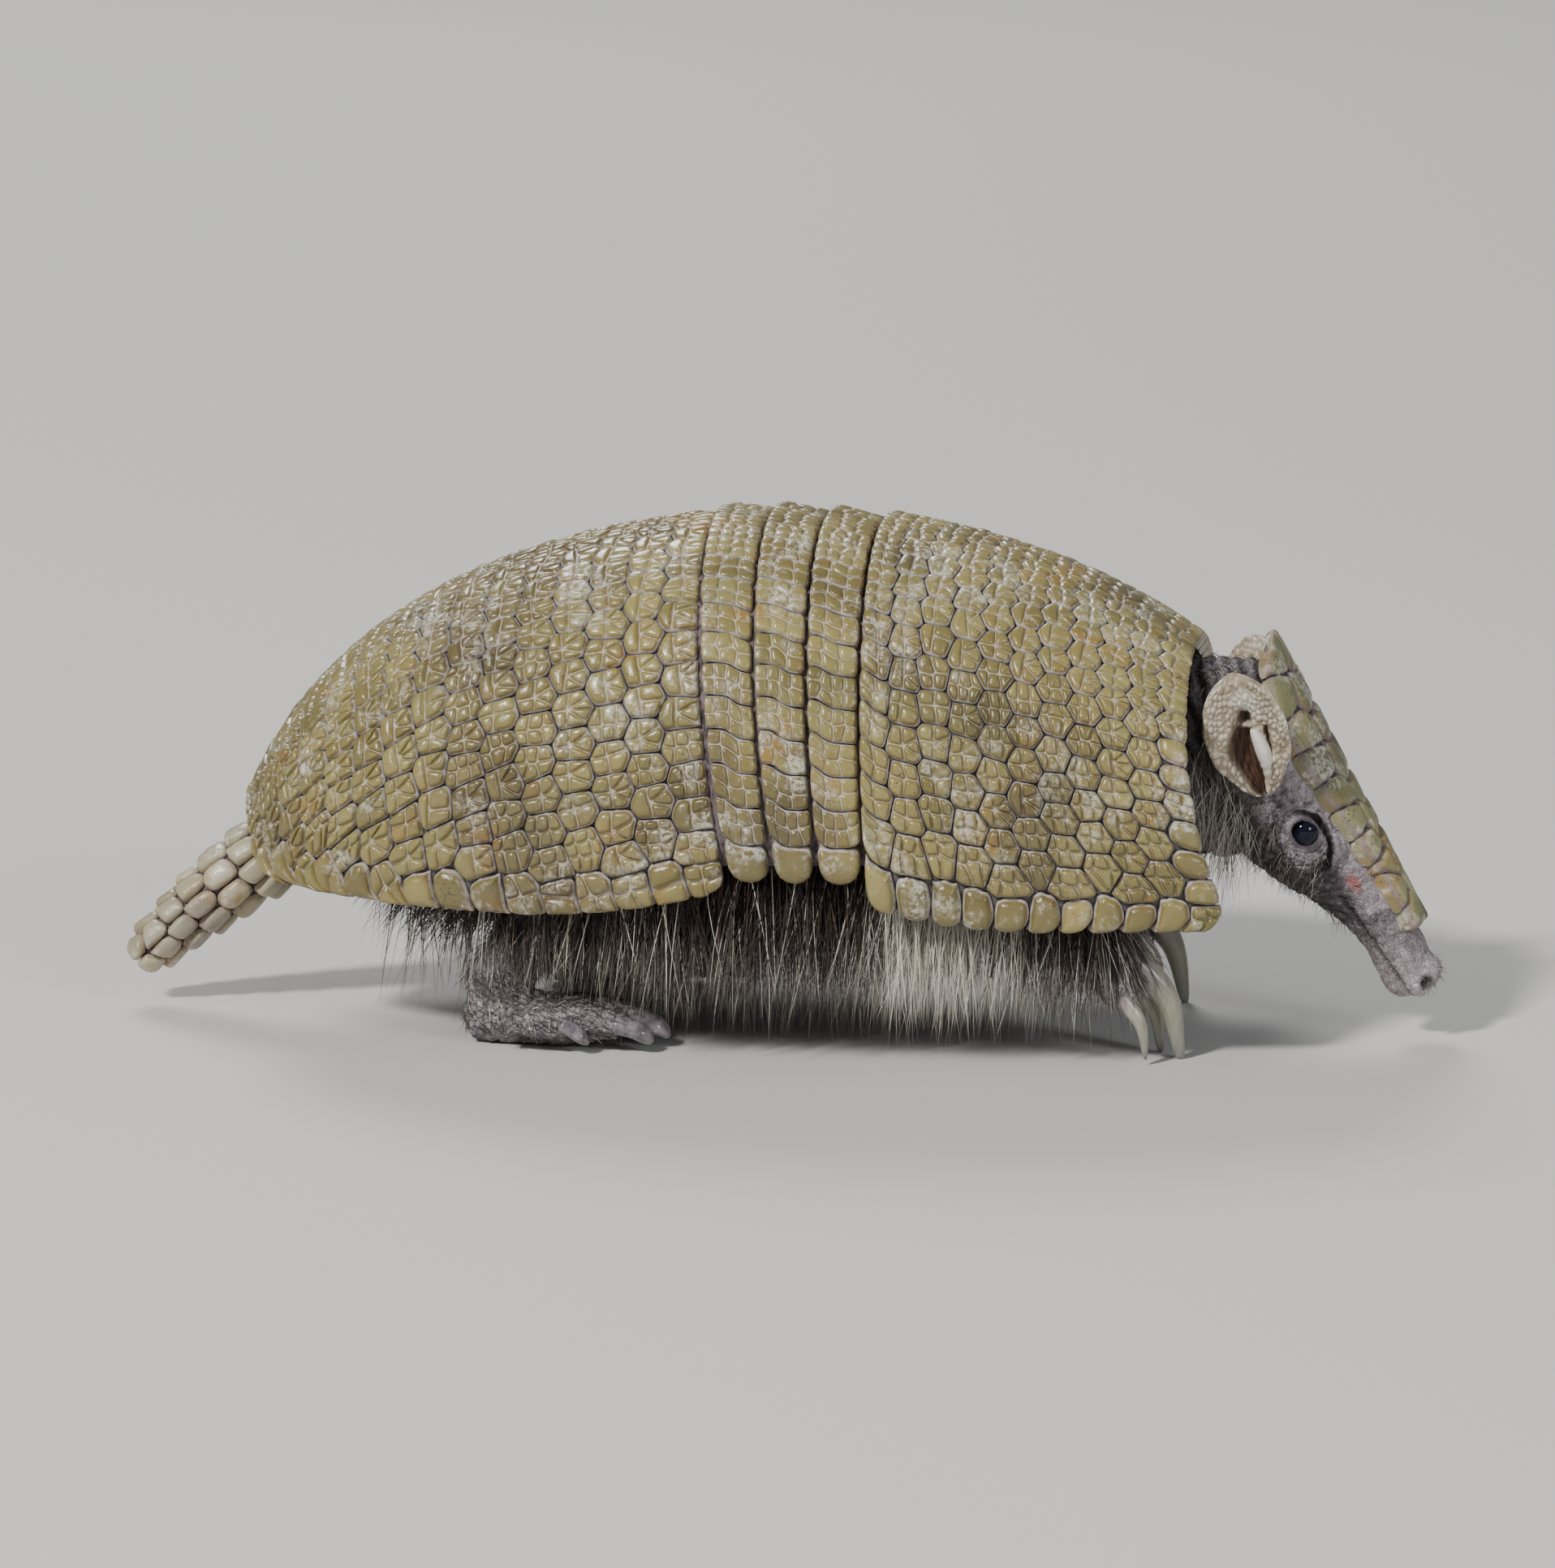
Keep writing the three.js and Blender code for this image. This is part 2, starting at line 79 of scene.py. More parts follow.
floor_mesh = bmesh.new()
bmesh.ops.create_grid(floor_mesh, x_segments=1, y_segments=1, size=FLOOR_HALF)
floor = set_down("floor", mesh_of("floor", floor_mesh))
floor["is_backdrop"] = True
floor_finish = bpy.data.materials.new("pale_floor")
floor_finish.use_nodes = True
floor_shader = floor_finish.node_tree.nodes["Principled BSDF"]
floor_shader.inputs["Base Color"].default_value = (0.62, 0.61, 0.59, 1)
floor_shader.inputs["Roughness"].default_value = 0.75
floor.data.materials.append(floor_finish)

BODY_MIDDLE = Vector((0, 0, 0.05))


def soft_lamp(name, place, size, watts, tint):
    """A round lamp that faces the middle of the body."""
    lamp = bpy.data.lights.new(name, "AREA")
    lamp.shape = "DISK"
    lamp.size = size
    lamp.energy = watts
    lamp.color = tint
    holder = set_down(name, lamp)
    holder.location = place
    holder.rotation_euler = (BODY_MIDDLE - Vector(place)).to_track_quat("-Z", "Y").to_euler()


soft_lamp("key_lamp", (-1.5, -2.5, 2.5), 0.5, 158, (1, 0.98, 0.95))
soft_lamp("fill_lamp", (2.8, -2.4, 1.5), 1.2, 46, (0.93, 0.96, 1))
soft_lamp("rim_lamp", (-1.2, 3.2, 2.8), 1.6, 90, (1, 1, 1))

world = bpy.data.worlds.new("soft_room")
world.use_nodes = True
air = world.node_tree.nodes["Background"]
air.inputs["Color"].default_value = (0.78, 0.8, 0.83, 1)
air.inputs["Strength"].default_value = 0.27
bpy.context.scene.world = world

CAMERA_TURN = math.radians(8)
CAMERA_TILT = math.radians(10)
CAMERA_DISTANCE = 1.6
VIEW_WIDTH = 0.325  # width of the view at the animal, in metres
SENSOR_WIDTH = 36  # millimetres
camera_data = bpy.data.cameras.new("camera")
camera_data.sensor_fit = "HORIZONTAL"
camera_data.sensor_width = SENSOR_WIDTH
camera_data.lens = SENSOR_WIDTH * CAMERA_DISTANCE / VIEW_WIDTH
camera = set_down("camera", camera_data)
view_back = Vector(
    (
        math.sin(CAMERA_TURN) * math.cos(CAMERA_TILT),
        -math.cos(CAMERA_TURN) * math.cos(CAMERA_TILT),
        math.sin(CAMERA_TILT),
    )
)
camera.location = BODY_MIDDLE + view_back * CAMERA_DISTANCE
camera.rotation_euler = (-view_back).to_track_quat("-Z", "Y").to_euler()
bpy.context.scene.camera = camera

# ----------------------------------------------------------------------------------------------- shell plates
# Two domed shields and three bands of bone under waxy horn. Each is a thick curved plate with rows of scutes,
# and each scute is a rosette of low beads. They are laid out flat, raised, then bent onto the dome.

MM = 0.001

# The dome's formulas count from the animal's own origin, which is found here from the place of the right eye.
SKULL = Vector((81.5, 0, 83))
HEAD_PITCH = math.radians(62)
HEAD_ALONG = Vector((math.cos(HEAD_PITCH), 0, -math.sin(HEAD_PITCH)))
HEAD_UP = Vector((math.sin(HEAD_PITCH), 0, math.cos(HEAD_PITCH)))
EYE_PLACE = Vector((37.5, 12, -10.3))  # along the head, out from its middle and up from the forehead


def head_point(along, left, above):
    """A place on the head, from its way along the forehead, to the left and above the forehead's line."""
    return SKULL + HEAD_ALONG * along + Vector((0, left, 0)) + HEAD_UP * above


eye_low, eye_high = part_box("eye_right")
ORIGIN = (eye_low + eye_high) / 2 / MM - head_point(EYE_PLACE.x, -EYE_PLACE.y, EYE_PLACE.z)
ORIGIN.z = 0


def in_frame(places):
    """Places in the animal's own millimetres as places in the shared frame, in metres."""
    return (places + np.array(ORIGIN)) * MM


# The back's line and the shell's half width each have a front and a rear arc of (reach, exponent).
BACK_TOP, BACK_X, BACK_FRONT, BACK_REAR = 108, -25, (113, 2), (107, 1.7)
SHELL_HALF_WIDTH, PLAN_X, PLAN_FRONT, PLAN_REAR = 53, -15, (149, 2.2), (121, 2.4)
WAIST_Z, WAIST_DROP = 50, 10  # height of the widest line, and how far it drops towards the tail
SECTION_POWER = 2.25  # squareness of the arch over the back
FLAP_TUCK = 0.035  # how far the lower edge leans in, as a share of the half width
SEAMS_BACK = (1, -10.5, -22, -33.5)  # the seams between the plates at the top of the back, from the front
SEAMS_EDGE = (4, -5.5, -14.5, -24)  # and at the lower edge
SEAM_GAP = 0.6
STEP_FRONT, STEP_REAR = -1.2, 0.5  # each plate's front lies low, under the rear of the plate before it
CORNER_FROM = 0.88  # the shields' corners are rounded past this share of the way across
CORNER_RADIUS = 3
FRONT_EDGE_Z, REAR_EDGE_Z, BAND_EDGE_Z = 29, 30, 38


def arc(distance, reach, exponent):
    """A rounded slope from 1 in the middle to 0 at the reach."""
    return np.maximum(0, 1 - np.abs(distance / reach) ** exponent) ** (1 / exponent)


def both_arcs(distance, front, rear):
    return np.where(distance > 0, arc(distance, *front), arc(distance, *rear))


def waist_z(x):
    return WAIST_Z - WAIST_DROP * (np.maximum(0, -60 - x) / 70) ** 2


def back_z(x):
    return waist_z(x) + (BACK_TOP - waist_z(x)) * both_arcs(x - BACK_X, BACK_FRONT, BACK_REAR)


def half_width(x):
    return SHELL_HALF_WIDTH * both_arcs(x - PLAN_X, PLAN_FRONT, PLAN_REAR)


def turn_back(across):
    """How far an edge has turned back, from 0 where the corner begins to 1 at its end."""
    into_corner = np.clip((np.abs(across) - CORNER_FROM) / (1 - CORNER_FROM), 0, 1)
    return 1 - np.sqrt(1 - into_corner**2)


def seam(index):
    """The line of a seam over the back: x from the place across, -1 to 1."""
    return lambda across: SEAMS_BACK[index] + (SEAMS_EDGE[index] - SEAMS_BACK[index]) * across**2


def shield_front(across):
    return 68 + 12 * np.abs(across) ** 4 - 8 * turn_back(across)


def shield_rear(across):
    return -131 + 5 * across**2 + 7 * turn_back(across)


def corner_rise(distance):
    """How far a lower edge rises in the round of a plate's corner, at a distance from the plate's end."""
    inside = np.clip(distance, 0, CORNER_RADIUS)
    return CORNER_RADIUS - np.sqrt(CORNER_RADIUS**2 - (CORNER_RADIUS - inside) ** 2)


def front_edge_z(x):
    return FRONT_EDGE_Z + 6 * (np.maximum(0, 40 - x) / 40) ** 2 + corner_rise(x - SEAMS_EDGE[0])


def rear_edge_z(x):
    level = REAR_EDGE_Z + 6 * (np.maximum(0, x + 70) / 45) ** 2 + 3 * (np.maximum(0, -70 - x) / 58) ** 2
    return level + corner_rise(SEAMS_EDGE[3] - x)


def band_edge_z(band):
    rear, front = SEAMS_EDGE[band], SEAMS_EDGE[band - 1]
    return lambda x: BAND_EDGE_Z + corner_rise(x - rear) + corner_rise(front - x)


class Sheet:
    """A plate as it lies flat: how wide it is at each share of its length, against its widest."""

    shares_along, narrow = np.linspace(0, 1, 60), np.ones(60)

    def half_at(self, half, along):
        return half * np.interp(along, self.shares_along, self.narrow)


class Dome(Sheet):
    """A lookup of the dome's surface for one plate: where each place on the plate is, and which way is out.
    Given the half width of its flat sheet, the sheet narrows with the dome, and steps along it are even."""

    def __init__(self, rear, front, edge_z, half=None):
        self.rear, self.front = rear, front
        ends = np.array([0.0, 0.5, 0.9, 1.0])
        self.xs = np.arange(rear(ends).min() - 3, front(ends).max() + 3, 0.75)
        self.shares = np.linspace(0, 1, 151)
        arch = np.linspace(0, math.pi / 2, 90)
        flap = np.linspace(0, 1, 24)[1:]
        table = np.zeros((len(self.xs), len(self.shares), 3))
        sections = np.zeros(len(self.xs))
        for row, x in enumerate(self.xs):
            wide, waist = half_width(x), waist_z(x)
            y = np.r_[wide * np.sin(arch) ** (2 / SECTION_POWER), wide * (1 - FLAP_TUCK * flap**2)]
            top = waist + (back_z(x) - waist) * np.cos(arch).clip(0) ** (2 / SECTION_POWER)
            z = np.r_[top, waist + (edge_z(x) - waist) * flap]
            length = np.r_[0, np.cumsum(np.hypot(np.diff(y), np.diff(z)))]
            sections[row] = length[-1]
            wanted = self.shares * length[-1]
            table[row, :, 0] = x
            table[row, :, 1] = np.interp(wanted, length, y)
            table[row, :, 2] = np.interp(wanted, length, z)
        out = np.cross(np.gradient(table, axis=0), np.gradient(table, axis=1))
        out[:, 0] = out[:, 1]
        out[:, 0, 1] = 0
        self.table = table
        self.out = out / np.linalg.norm(out, axis=2, keepdims=True)
        self.evened = self.shares_along
        if half:
            line = self.bend(np.full(60, 0.45), self.shares_along, np.zeros(60)) / MM
            run = np.r_[0, np.cumsum(np.linalg.norm(np.diff(line, axis=0), axis=1))]
            evened = np.interp(self.shares_along * run[-1], run, self.shares_along)
            x = np.interp(evened, self.shares_along, line[:, 0]) - ORIGIN.x
            self.narrow = (np.interp(x, self.xs, sections) / half) ** 0.6
            self.evened = evened

    def bend(self, across, along, height):
        """Puts places, -1 to 1 across the plate and 0 to 1 along it, onto the dome, raised by a height."""
        across = np.clip(across / self.half_at(1, along), -1, 1)
        along = np.interp(along, self.shares_along, self.evened)
        rear, front = self.rear(across) + SEAM_GAP / 2, self.front(across) - SEAM_GAP / 2
        x = rear + (front - rear) * along
        row = np.clip((x - self.xs[0]) / (self.xs[1] - self.xs[0]), 0, len(self.xs) - 1.001)
        column = np.clip(np.abs(across), 0, 1) * (len(self.shares) - 1.001)
        r, c = row.astype(int), column.astype(int)
        fr, fc = (row - r)[:, None], (column - c)[:, None]

        def read(grid):
            near = grid[r, c] * (1 - fc) + grid[r, c + 1] * fc
            far = grid[r + 1, c] * (1 - fc) + grid[r + 1, c + 1] * fc
            return near * (1 - fr) + far * fr

        lift = height + STEP_REAR + (STEP_FRONT - STEP_REAR) * along
        place = read(self.table) + read(self.out) * lift[:, None]
        place[:, 1] *= np.sign(across) + (across == 0)
        return in_frame(place)


def clipped(polygon, middle, away):
    """What is left of a convex polygon on the near side of a line."""
    kept = []
    for here, ahead in zip(polygon, polygon[1:] + polygon[:1]):
        side, side_ahead = (here - middle).dot(away), (ahead - middle).dot(away)
        if side <= 0:
            kept.append(here)
        if side * side_ahead < 0:
            kept.append(here.lerp(ahead, side / (side - side_ahead)))
    return kept


def cell_of(seed, seeds, outline, reach, gap=0.0):
    """The part of an outline that lies nearer to one seed than to the others, drawn in by a gap."""
    polygon = outline
    for other in seeds:
        towards = other - seed
        if 1e-6 < towards.length < reach:
            polygon = clipped(polygon, seed + towards / 2 - towards.normalized() * gap, towards)
    return polygon


WHOLE = 30  # farther than any two beads of one scute are apart


def rosette(middle, radius, outline, rng):
    """Beads of a scute: a crescent along its rear side, and wedges that meet at a point before it."""
    turn = rng.uniform(-0.16, 0.16)
    ahead = Vector((math.sin(turn), math.cos(turn)))
    meeting = middle + Vector((rng.uniform(-0.12, 0.12), rng.uniform(-0.2, 0.02))) * radius
    crescent = clipped(outline, meeting, ahead)
    rest = clipped(outline, meeting, -ahead)
    count = rng.choice((2, 3, 3, 3, 4))
    fan = []
    for i in range(count):
        t = math.pi * (0.06 + 0.88 * (i + 0.5) / count) + rng.uniform(-0.16, 0.16) - turn
        fan.append(meeting + Vector((math.cos(t), math.sin(t))) * radius * 0.5)
    beads = [crescent]
    if rng.random() < 0.45:
        halves = [meeting + Vector((side * radius * 0.4, -radius * 0.4)) for side in (-1, 1)]
        beads = [cell_of(seed, halves, crescent, WHOLE) for seed in halves]
    return beads + [cell_of(seed, fan, rest, WHOLE) for seed in fan]


def spread_of(outline):
    """How wide and how long an outline is."""
    return [max(p[k] for p in outline) - min(p[k] for p in outline) for k in (0, 1)]


def ladder(middle, outline, across, along, rng):
    """Beads of a scute in loose rows."""
    wide, long = spread_of(outline)
    seeds = []
    for i in range(across):
        for j in range(along):
            shift = Vector((rng.uniform(-0.17, 0.17) / across, rng.uniform(-0.17, 0.17) / along))
            place = Vector(((i + 0.5) / across - 0.5, (j + 0.5) / along - 0.5)) + shift
            seeds.append(middle + Vector((place.x * wide, place.y * long)))
    return [cell_of(seed, seeds, outline, WHOLE) for seed in seeds]


def jointed(polygons):
    """The polygons of one scute, each with its neighbours' corners added where these lie on its own sides."""
    corners = [p for polygon in polygons for p in polygon]
    joined = []
    for polygon in polygons:
        whole = []
        for here, ahead in zip(polygon, polygon[1:] + polygon[:1]):
            whole.append(here)
            side = ahead - here
            if side.length < 0.25:
                continue
            along = []
            for p in corners:
                share = (p - here).dot(side) / side.length_squared
                near = (here + side * share - p).length < 0.02
                if near and 0.12 < share * side.length < side.length - 0.12:
                    along.append((share, p))
            along.sort(key=lambda pair: pair[0])
            whole += [p for k, (share, p) in enumerate(along) if not k or (p - along[k - 1][1]).length > 0.1]
        joined.append(whole)
    return joined


GROOVE = 0.24  # half the width of the groove between two scutes
GROOVE_DEPTH = 0.85
PLATE_THICKNESS = 3.3
EDGE = 0.9  # points nearer than this to a plate's edge belong to its rim
NEIGHBOURS = 22  # scutes farther apart than this don't meet


def laid_out(seeds, half, length, dome=Sheet(), groove=GROOVE):
    """Each seed with its scute's outline on a flat plate. A seed is (place, kind)."""
    shares = np.linspace(0, 1, 25) if min(dome.narrow) < 1 else (0, 1)
    sheet = [Vector((dome.half_at(half, t), t * length)) for t in shares]
    sheet += [Vector((-p.x, p.y)) for p in reversed(sheet)]
    places = [seed[0] for seed in seeds]
    return [(place, kind, cell_of(place, places, sheet, NEIGHBOURS, groove)) for place, kind in seeds]


def finished_piece(name, bm, smooth_steps=1):
    """The mesh as an object that rides on the body, rounded by subdivision."""
    piece = set_down(name, mesh_of(name, bm))
    piece.data.polygons.foreach_set("use_smooth", [True] * len(piece.data.polygons))
    if smooth_steps:
        rounding = piece.modifiers.new("rounding", "SUBSURF")
        rounding.levels = rounding.render_levels = smooth_steps
    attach(piece, "root")
    return piece


def knob_outline(corners, middle, roundness):
    """A scute's outline with its corners drawn in and a point more on each side, pushed out a little."""
    rounder = []
    for here, ahead in zip(corners, corners[1:] + corners[:1]):
        between = here.lerp(ahead, 0.5)
        rounder += [here.lerp(middle, roundness), between + (between - middle) * 0.04]
    return rounder


def bead_faces(bm, scutes, rng, tone, owner):
    """The beads of all scutes as flat faces that share their sides within a scute."""
    for number, (middle, kind, outline) in enumerate(scutes):
        radius = math.sqrt(sum((p - middle).length_squared for p in outline) / len(outline))
        wide, long = spread_of(outline)
        if kind in ("knob", "smooth"):
            shapes = [knob_outline(outline, middle, 0.13 if kind == "knob" else 0.06)]
        elif kind == "ladder":
            shapes = ladder(middle, outline, round(wide / 3.6), max(2, round(long / 3.2)), rng)
        elif kind == "pair":
            shapes = ladder(middle, outline, 2, rng.choice((1, 2, 2)), rng)
        else:
            shapes = rosette(middle, radius, outline, rng)
        shade = rng.random()
        for corners in jointed([shape for shape in shapes if len(shape) > 2]):
            face = bm.faces.new([bm.verts.new((p.x, p.y, 0)) for p in corners])
            for v in face.verts:
                v[owner] = number
                v[tone] = (1, 0, shade, 0.5)
    bmesh.ops.remove_doubles(bm, verts=bm.verts, dist=0.1)
    return list(bm.faces)


def bend_sides(bm, rng, near_end, tone, owner):
    """The long sides get a bend, so that no crack runs quite straight."""
    for edge in [e for e in bm.edges if e.calc_length() > 1.9]:
        low, high = edge.verts[0].co, edge.verts[1].co
        side = high - low
        if edge.is_boundary and near_end(low) and near_end(high):
            continue
        own = edge.verts[0][owner]
        bend = bmesh.utils.edge_split(edge, edge.verts[0], rng.uniform(0.4, 0.6))[1]
        amount = min(0.16, side.length * 0.055)
        bend.co += Vector((-side.y, side.x, 0)).normalized() * rng.uniform(-amount, amount)
        bend[owner] = own
        bend[tone] = (1, 0, edge.verts[0][tone][2], 0.5)


def drop_feet(bm, scutes, groove, near_end, tone, owner):
    """The foot of each scute goes down into the groove, and at the plate's ends round the rim of the bone."""
    rim = [e for e in bm.edges if e.is_boundary]
    ends = set()
    for v in bmesh.ops.extrude_edge_only(bm, edges=rim)["geom"]:
        if not isinstance(v, bmesh.types.BMVert):
            continue
        outward = (v.co - scutes[v[owner]][0].to_3d()).normalized()
        if near_end(v.co):
            v.co += outward * 0.4
            v.co.z = -1.2
            v[tone] = (0.96, 0.6, v[tone][2], 0.5)
            ends.add(v)
        else:
            v.co += outward * (groove + 0.12)
            v.co.z = -GROOVE_DEPTH - 0.15
            v[tone] = (0, 0, v[tone][2], 0.5)
    low_rim = [e for e in bm.edges if e.is_boundary and e.verts[0] in ends and e.verts[1] in ends]
    for v in bmesh.ops.extrude_edge_only(bm, edges=low_rim)["geom"]:
        if isinstance(v, bmesh.types.BMVert):
            inward = (scutes[v[owner]][0].to_3d() - v.co).normalized()
            v.co += Vector((inward.x, inward.y, 0)) * 0.6
            v.co.z = -PLATE_THICKNESS
            v[tone] = (0.92, 0.5, v[tone][2], 0.5)


def swell_beads(bm, beads, half_at, rise_at, rng, tone, tilt):
    """Each bead is drawn in twice and raised, so that it swells out of narrow cracks."""
    marks = {}
    for face in beads:
        size = math.sqrt(face.calc_area())
        middle = face.calc_center_median()
        rise = rise_at(middle.x / half_at(middle.y), middle.y) * min(1.5, 0.5 + size * 0.17)
        rise *= rng.uniform(0.88, 1.12)
        lean = Vector((rng.uniform(-0.08, 0.08), rng.uniform(-0.08, 0.08)))
        depth = 2 * face.calc_area() / max(face.calc_perimeter(), 0.1)
        marks[face] = (middle, size, rise, rng.random(), lean, round(depth * 5) / 5)
    for share, lift, crest in ((0.2, 0.72, 0.8), (0.0, 1.0, 1.0)):
        for depth in sorted({mark[5] for mark in marks.values()}):
            alike = [face for face in beads if marks[face][5] == depth]
            inset = max(0.01, share * depth)
            bmesh.ops.inset_individual(bm, faces=alike, thickness=inset, use_even_offset=False)
        for face in beads:
            middle, size, rise, shade, lean, depth = marks[face]
            for v in face.verts:
                if not share:
                    v.co = middle.lerp(v.co, 0.6)
                flat = v.co - middle
                v.co.z = rise * lift * (1 + lean.dot(flat.to_2d()) / max(size, 1) * 2) - tilt * flat.y
                v[tone] = (1, crest, v[tone][2], shade)


def add_bone(bm, half_at, length, tone):
    """The plate of bone that carries the scutes, a little narrower and shorter than they are."""
    rows = max(3, round(length / 6))
    grid = bmesh.ops.create_grid(bm, x_segments=44, y_segments=rows, size=1)["verts"]
    for v in grid:
        y = length / 2 + v.co.y * (length / 2 - EDGE)
        v.co = Vector((v.co.x * (half_at((0.5 + v.co.y / 2) * length) - EDGE), y, -GROOVE_DEPTH))
        v[tone] = (0, 0, 0.5, 0.5)
    plate = list({f for v in grid for f in v.link_faces})
    for f in plate:
        f.material_index = 1
    bmesh.ops.solidify(bm, geom=plate, thickness=PLATE_THICKNESS - GROOVE_DEPTH)


def scuted_plate(name, dome, half, length, scutes, rng, relief, bone=True, tilt=0.0, groove=GROOVE):
    """One plate with its scutes. relief(across, along) is how high the beads stand, tilt lifts their ends."""
    bm = bmesh.new()
    tone = bm.verts.layers.float_color.new("scale_map")
    owner = bm.verts.layers.int.new("owner")

    def half_at(y):
        return dome.half_at(half, y / length)

    def near_end(spot):
        return abs(spot.x) > half_at(spot.y) - EDGE or spot.y < EDGE or spot.y > length - EDGE

    beads = bead_faces(bm, scutes, rng, tone, owner)
    bend_sides(bm, rng, near_end, tone, owner)
    drop_feet(bm, scutes, groove, near_end, tone, owner)
    swell_beads(bm, beads, half_at, lambda across, y: relief(across, y / length), rng, tone, tilt)
    if bone:
        add_bone(bm, half_at, length, tone)
    bmesh.ops.recalc_face_normals(bm, faces=bm.faces)
    bm.verts.layers.int.remove(owner)

    flat = np.array([v.co for v in bm.verts])
    flat[:, 2] = np.maximum(flat[:, 2], -PLATE_THICKNESS)
    bent = dome.bend(flat[:, 0] / half, flat[:, 1] / length, flat[:, 2])
    bent[:, 2] -= np.maximum(0, np.abs(flat[:, 0]) - half_at(flat[:, 1])) * MM
    for v, place in zip(bm.verts, bent):
        v.co = place
    bmesh.ops.reverse_faces(bm, faces=bm.faces)
    return finished_piece(name, bm)


def shield_seeds(dome, half, length, rows, columns, margin, straight_rows, rugged_share):
    """Rows of scutes over the back, each shifted from the last, with a rim scute at both ends. Low on the
    sides, most scutes of the straight first rows are ladders, and of the other rows the rugged share."""
    row_pitch = length / rows
    seeds = []
    for row in range(rows):
        y = (row + 0.5) * row_pitch
        half_here = dome.half_at(half, y / length)
        inner = half_here - margin
        count = columns - 4 * round((columns - columns * inner / (half - margin)) / 4)
        pitch = 2 * inner / count
        straight = row < straight_rows
        shift = 0.22 if straight else 0.5
        loose = 0.06 if straight else 0.1
        for column in range(count + 1):
            x = -inner + pitch * (column + (0 if row % 2 else shift))
            if abs(x) > inner - pitch * 0.3:
                continue
            across, along = shell_rng.uniform(-loose, loose), shell_rng.uniform(-loose, loose)
            jitter = Vector((across * pitch, along * row_pitch))
            rugged = abs(x) > 0.45 * half_here and shell_rng.random() < (0.85 if straight else rugged_share)
            kind = "ladder" if row == 0 and straight or rugged else "rosette"
            seeds.append((Vector((x, y)) + jitter, kind))
        for side in (-1, 1):
            x = side * (half_here - margin / 2 - shell_rng.uniform(0, 0.5))
            seeds.append((Vector((x, y + shell_rng.uniform(-0.7, 0.7))), "rim"))
    return seeds


def shield_pieces(name, dome, half, length, seeds, rough_from, low, high):
    """A shield in three pieces: the scutes of the right and the left side, and the bone under them."""
    scutes = laid_out(seeds, half, length, dome)

    def relief(across, along):
        return low + (high - low) * min(1, max(0, (abs(across) - rough_from) / 0.3))

    right = [scute for scute in scutes if scute[0].x < 0]
    left = [scute for scute in scutes if scute[0].x >= 0]
    pieces = [
        scuted_plate(f"{name}_scutes_right", dome, half, length, right, shell_rng, relief, bone=False),
        scuted_plate(f"{name}_scutes_left", dome, half, length, left, shell_rng, relief, bone=False),
        scuted_plate(f"{name}_bone", dome, half, length, [], shell_rng, relief),
    ]
    for piece in pieces:
        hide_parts(name)
    return pieces


shell_rng = random.Random(11)
FRONT_HALF, FRONT_LENGTH = 107, 77
REAR_HALF, REAR_LENGTH = 104, 118
front_dome = Dome(seam(0), shield_front, front_edge_z)
rear_dome = Dome(shield_rear, seam(3), rear_edge_z, REAR_HALF)


def front_kind(place, kind):
    """The front shield's rim is plain knobs, and so are most scutes at its front corners."""
    if place.y > FRONT_LENGTH - 7 and abs(place.x) > 0.5 * front_dome.half_at(FRONT_HALF, 1):
        return "knob" if shell_rng.random() < 0.6 else "pair"
    return "knob" if kind == "rim" else kind


def rear_kind(kind):
    """The rear shield's rim is pairs of beads and knobs."""
    if kind != "rim":
        return kind
    return "pair" if shell_rng.random() < 0.6 else "knob"


front_seeds = shield_seeds(
    front_dome, FRONT_HALF, FRONT_LENGTH, rows=11, columns=27, margin=7.6, straight_rows=4, rugged_share=0.8
)
front_seeds = [(place, front_kind(place, kind)) for place, kind in front_seeds]
front_pieces = shield_pieces(
    "front_shield", front_dome, FRONT_HALF, FRONT_LENGTH, front_seeds, rough_from=0.3, low=0.6, high=1.15
)
rear_seeds = shield_seeds(
    rear_dome, REAR_HALF, REAR_LENGTH, rows=15, columns=27, margin=7.2, straight_rows=0, rugged_share=0.35
)
rear_seeds = [(place, rear_kind(kind)) for place, kind in rear_seeds]
rear_pieces = shield_pieces(
    "rear_shield", rear_dome, REAR_HALF, REAR_LENGTH, rear_seeds, rough_from=0.2, low=0.65, high=1.15
)

BAND_HALF, BAND_LENGTH, BAND_COLUMNS = 100, 11.2, 26
BAND_MARGIN, BAND_KNOB = 9, 4.2  # the scutes end and the last knob's middle lies this far from the band's end
band_pitch = 2 * (BAND_HALF - BAND_MARGIN) / BAND_COLUMNS
bands = []
for number in (1, 2, 3):
    band_dome = Dome(seam(number), seam(number - 1), band_edge_z(number))
    band_seeds = []
    for column in range(BAND_COLUMNS):
        x = -BAND_HALF + BAND_MARGIN + band_pitch * (column + 0.5)
        band_seeds.append((Vector((x, BAND_LENGTH / 2)), "ladder"))
    for side in (-1, 1):
        band_seeds.append((Vector((side * (BAND_HALF - BAND_KNOB), BAND_LENGTH / 2)), "knob"))
    band = scuted_plate(
        f"band_{number}_scutes",
        band_dome,
        BAND_HALF,
        BAND_LENGTH,
        laid_out(band_seeds, BAND_HALF, BAND_LENGTH),
        shell_rng,
        lambda across, along: 0.6 if abs(across) < 0.9 else 1.2,
    )
    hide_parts(f"band_{number}")
    bands.append(band)


def feed(tree, socket, value):
    """Links a socket to another one, or sets it to a number or a colour."""
    if isinstance(value, bpy.types.NodeSocket):
        tree.links.new(value, socket)
    elif isinstance(value, tuple) and len(socket.default_value) == 4:
        socket.default_value = (*value, 1)
    else:
        socket.default_value = value


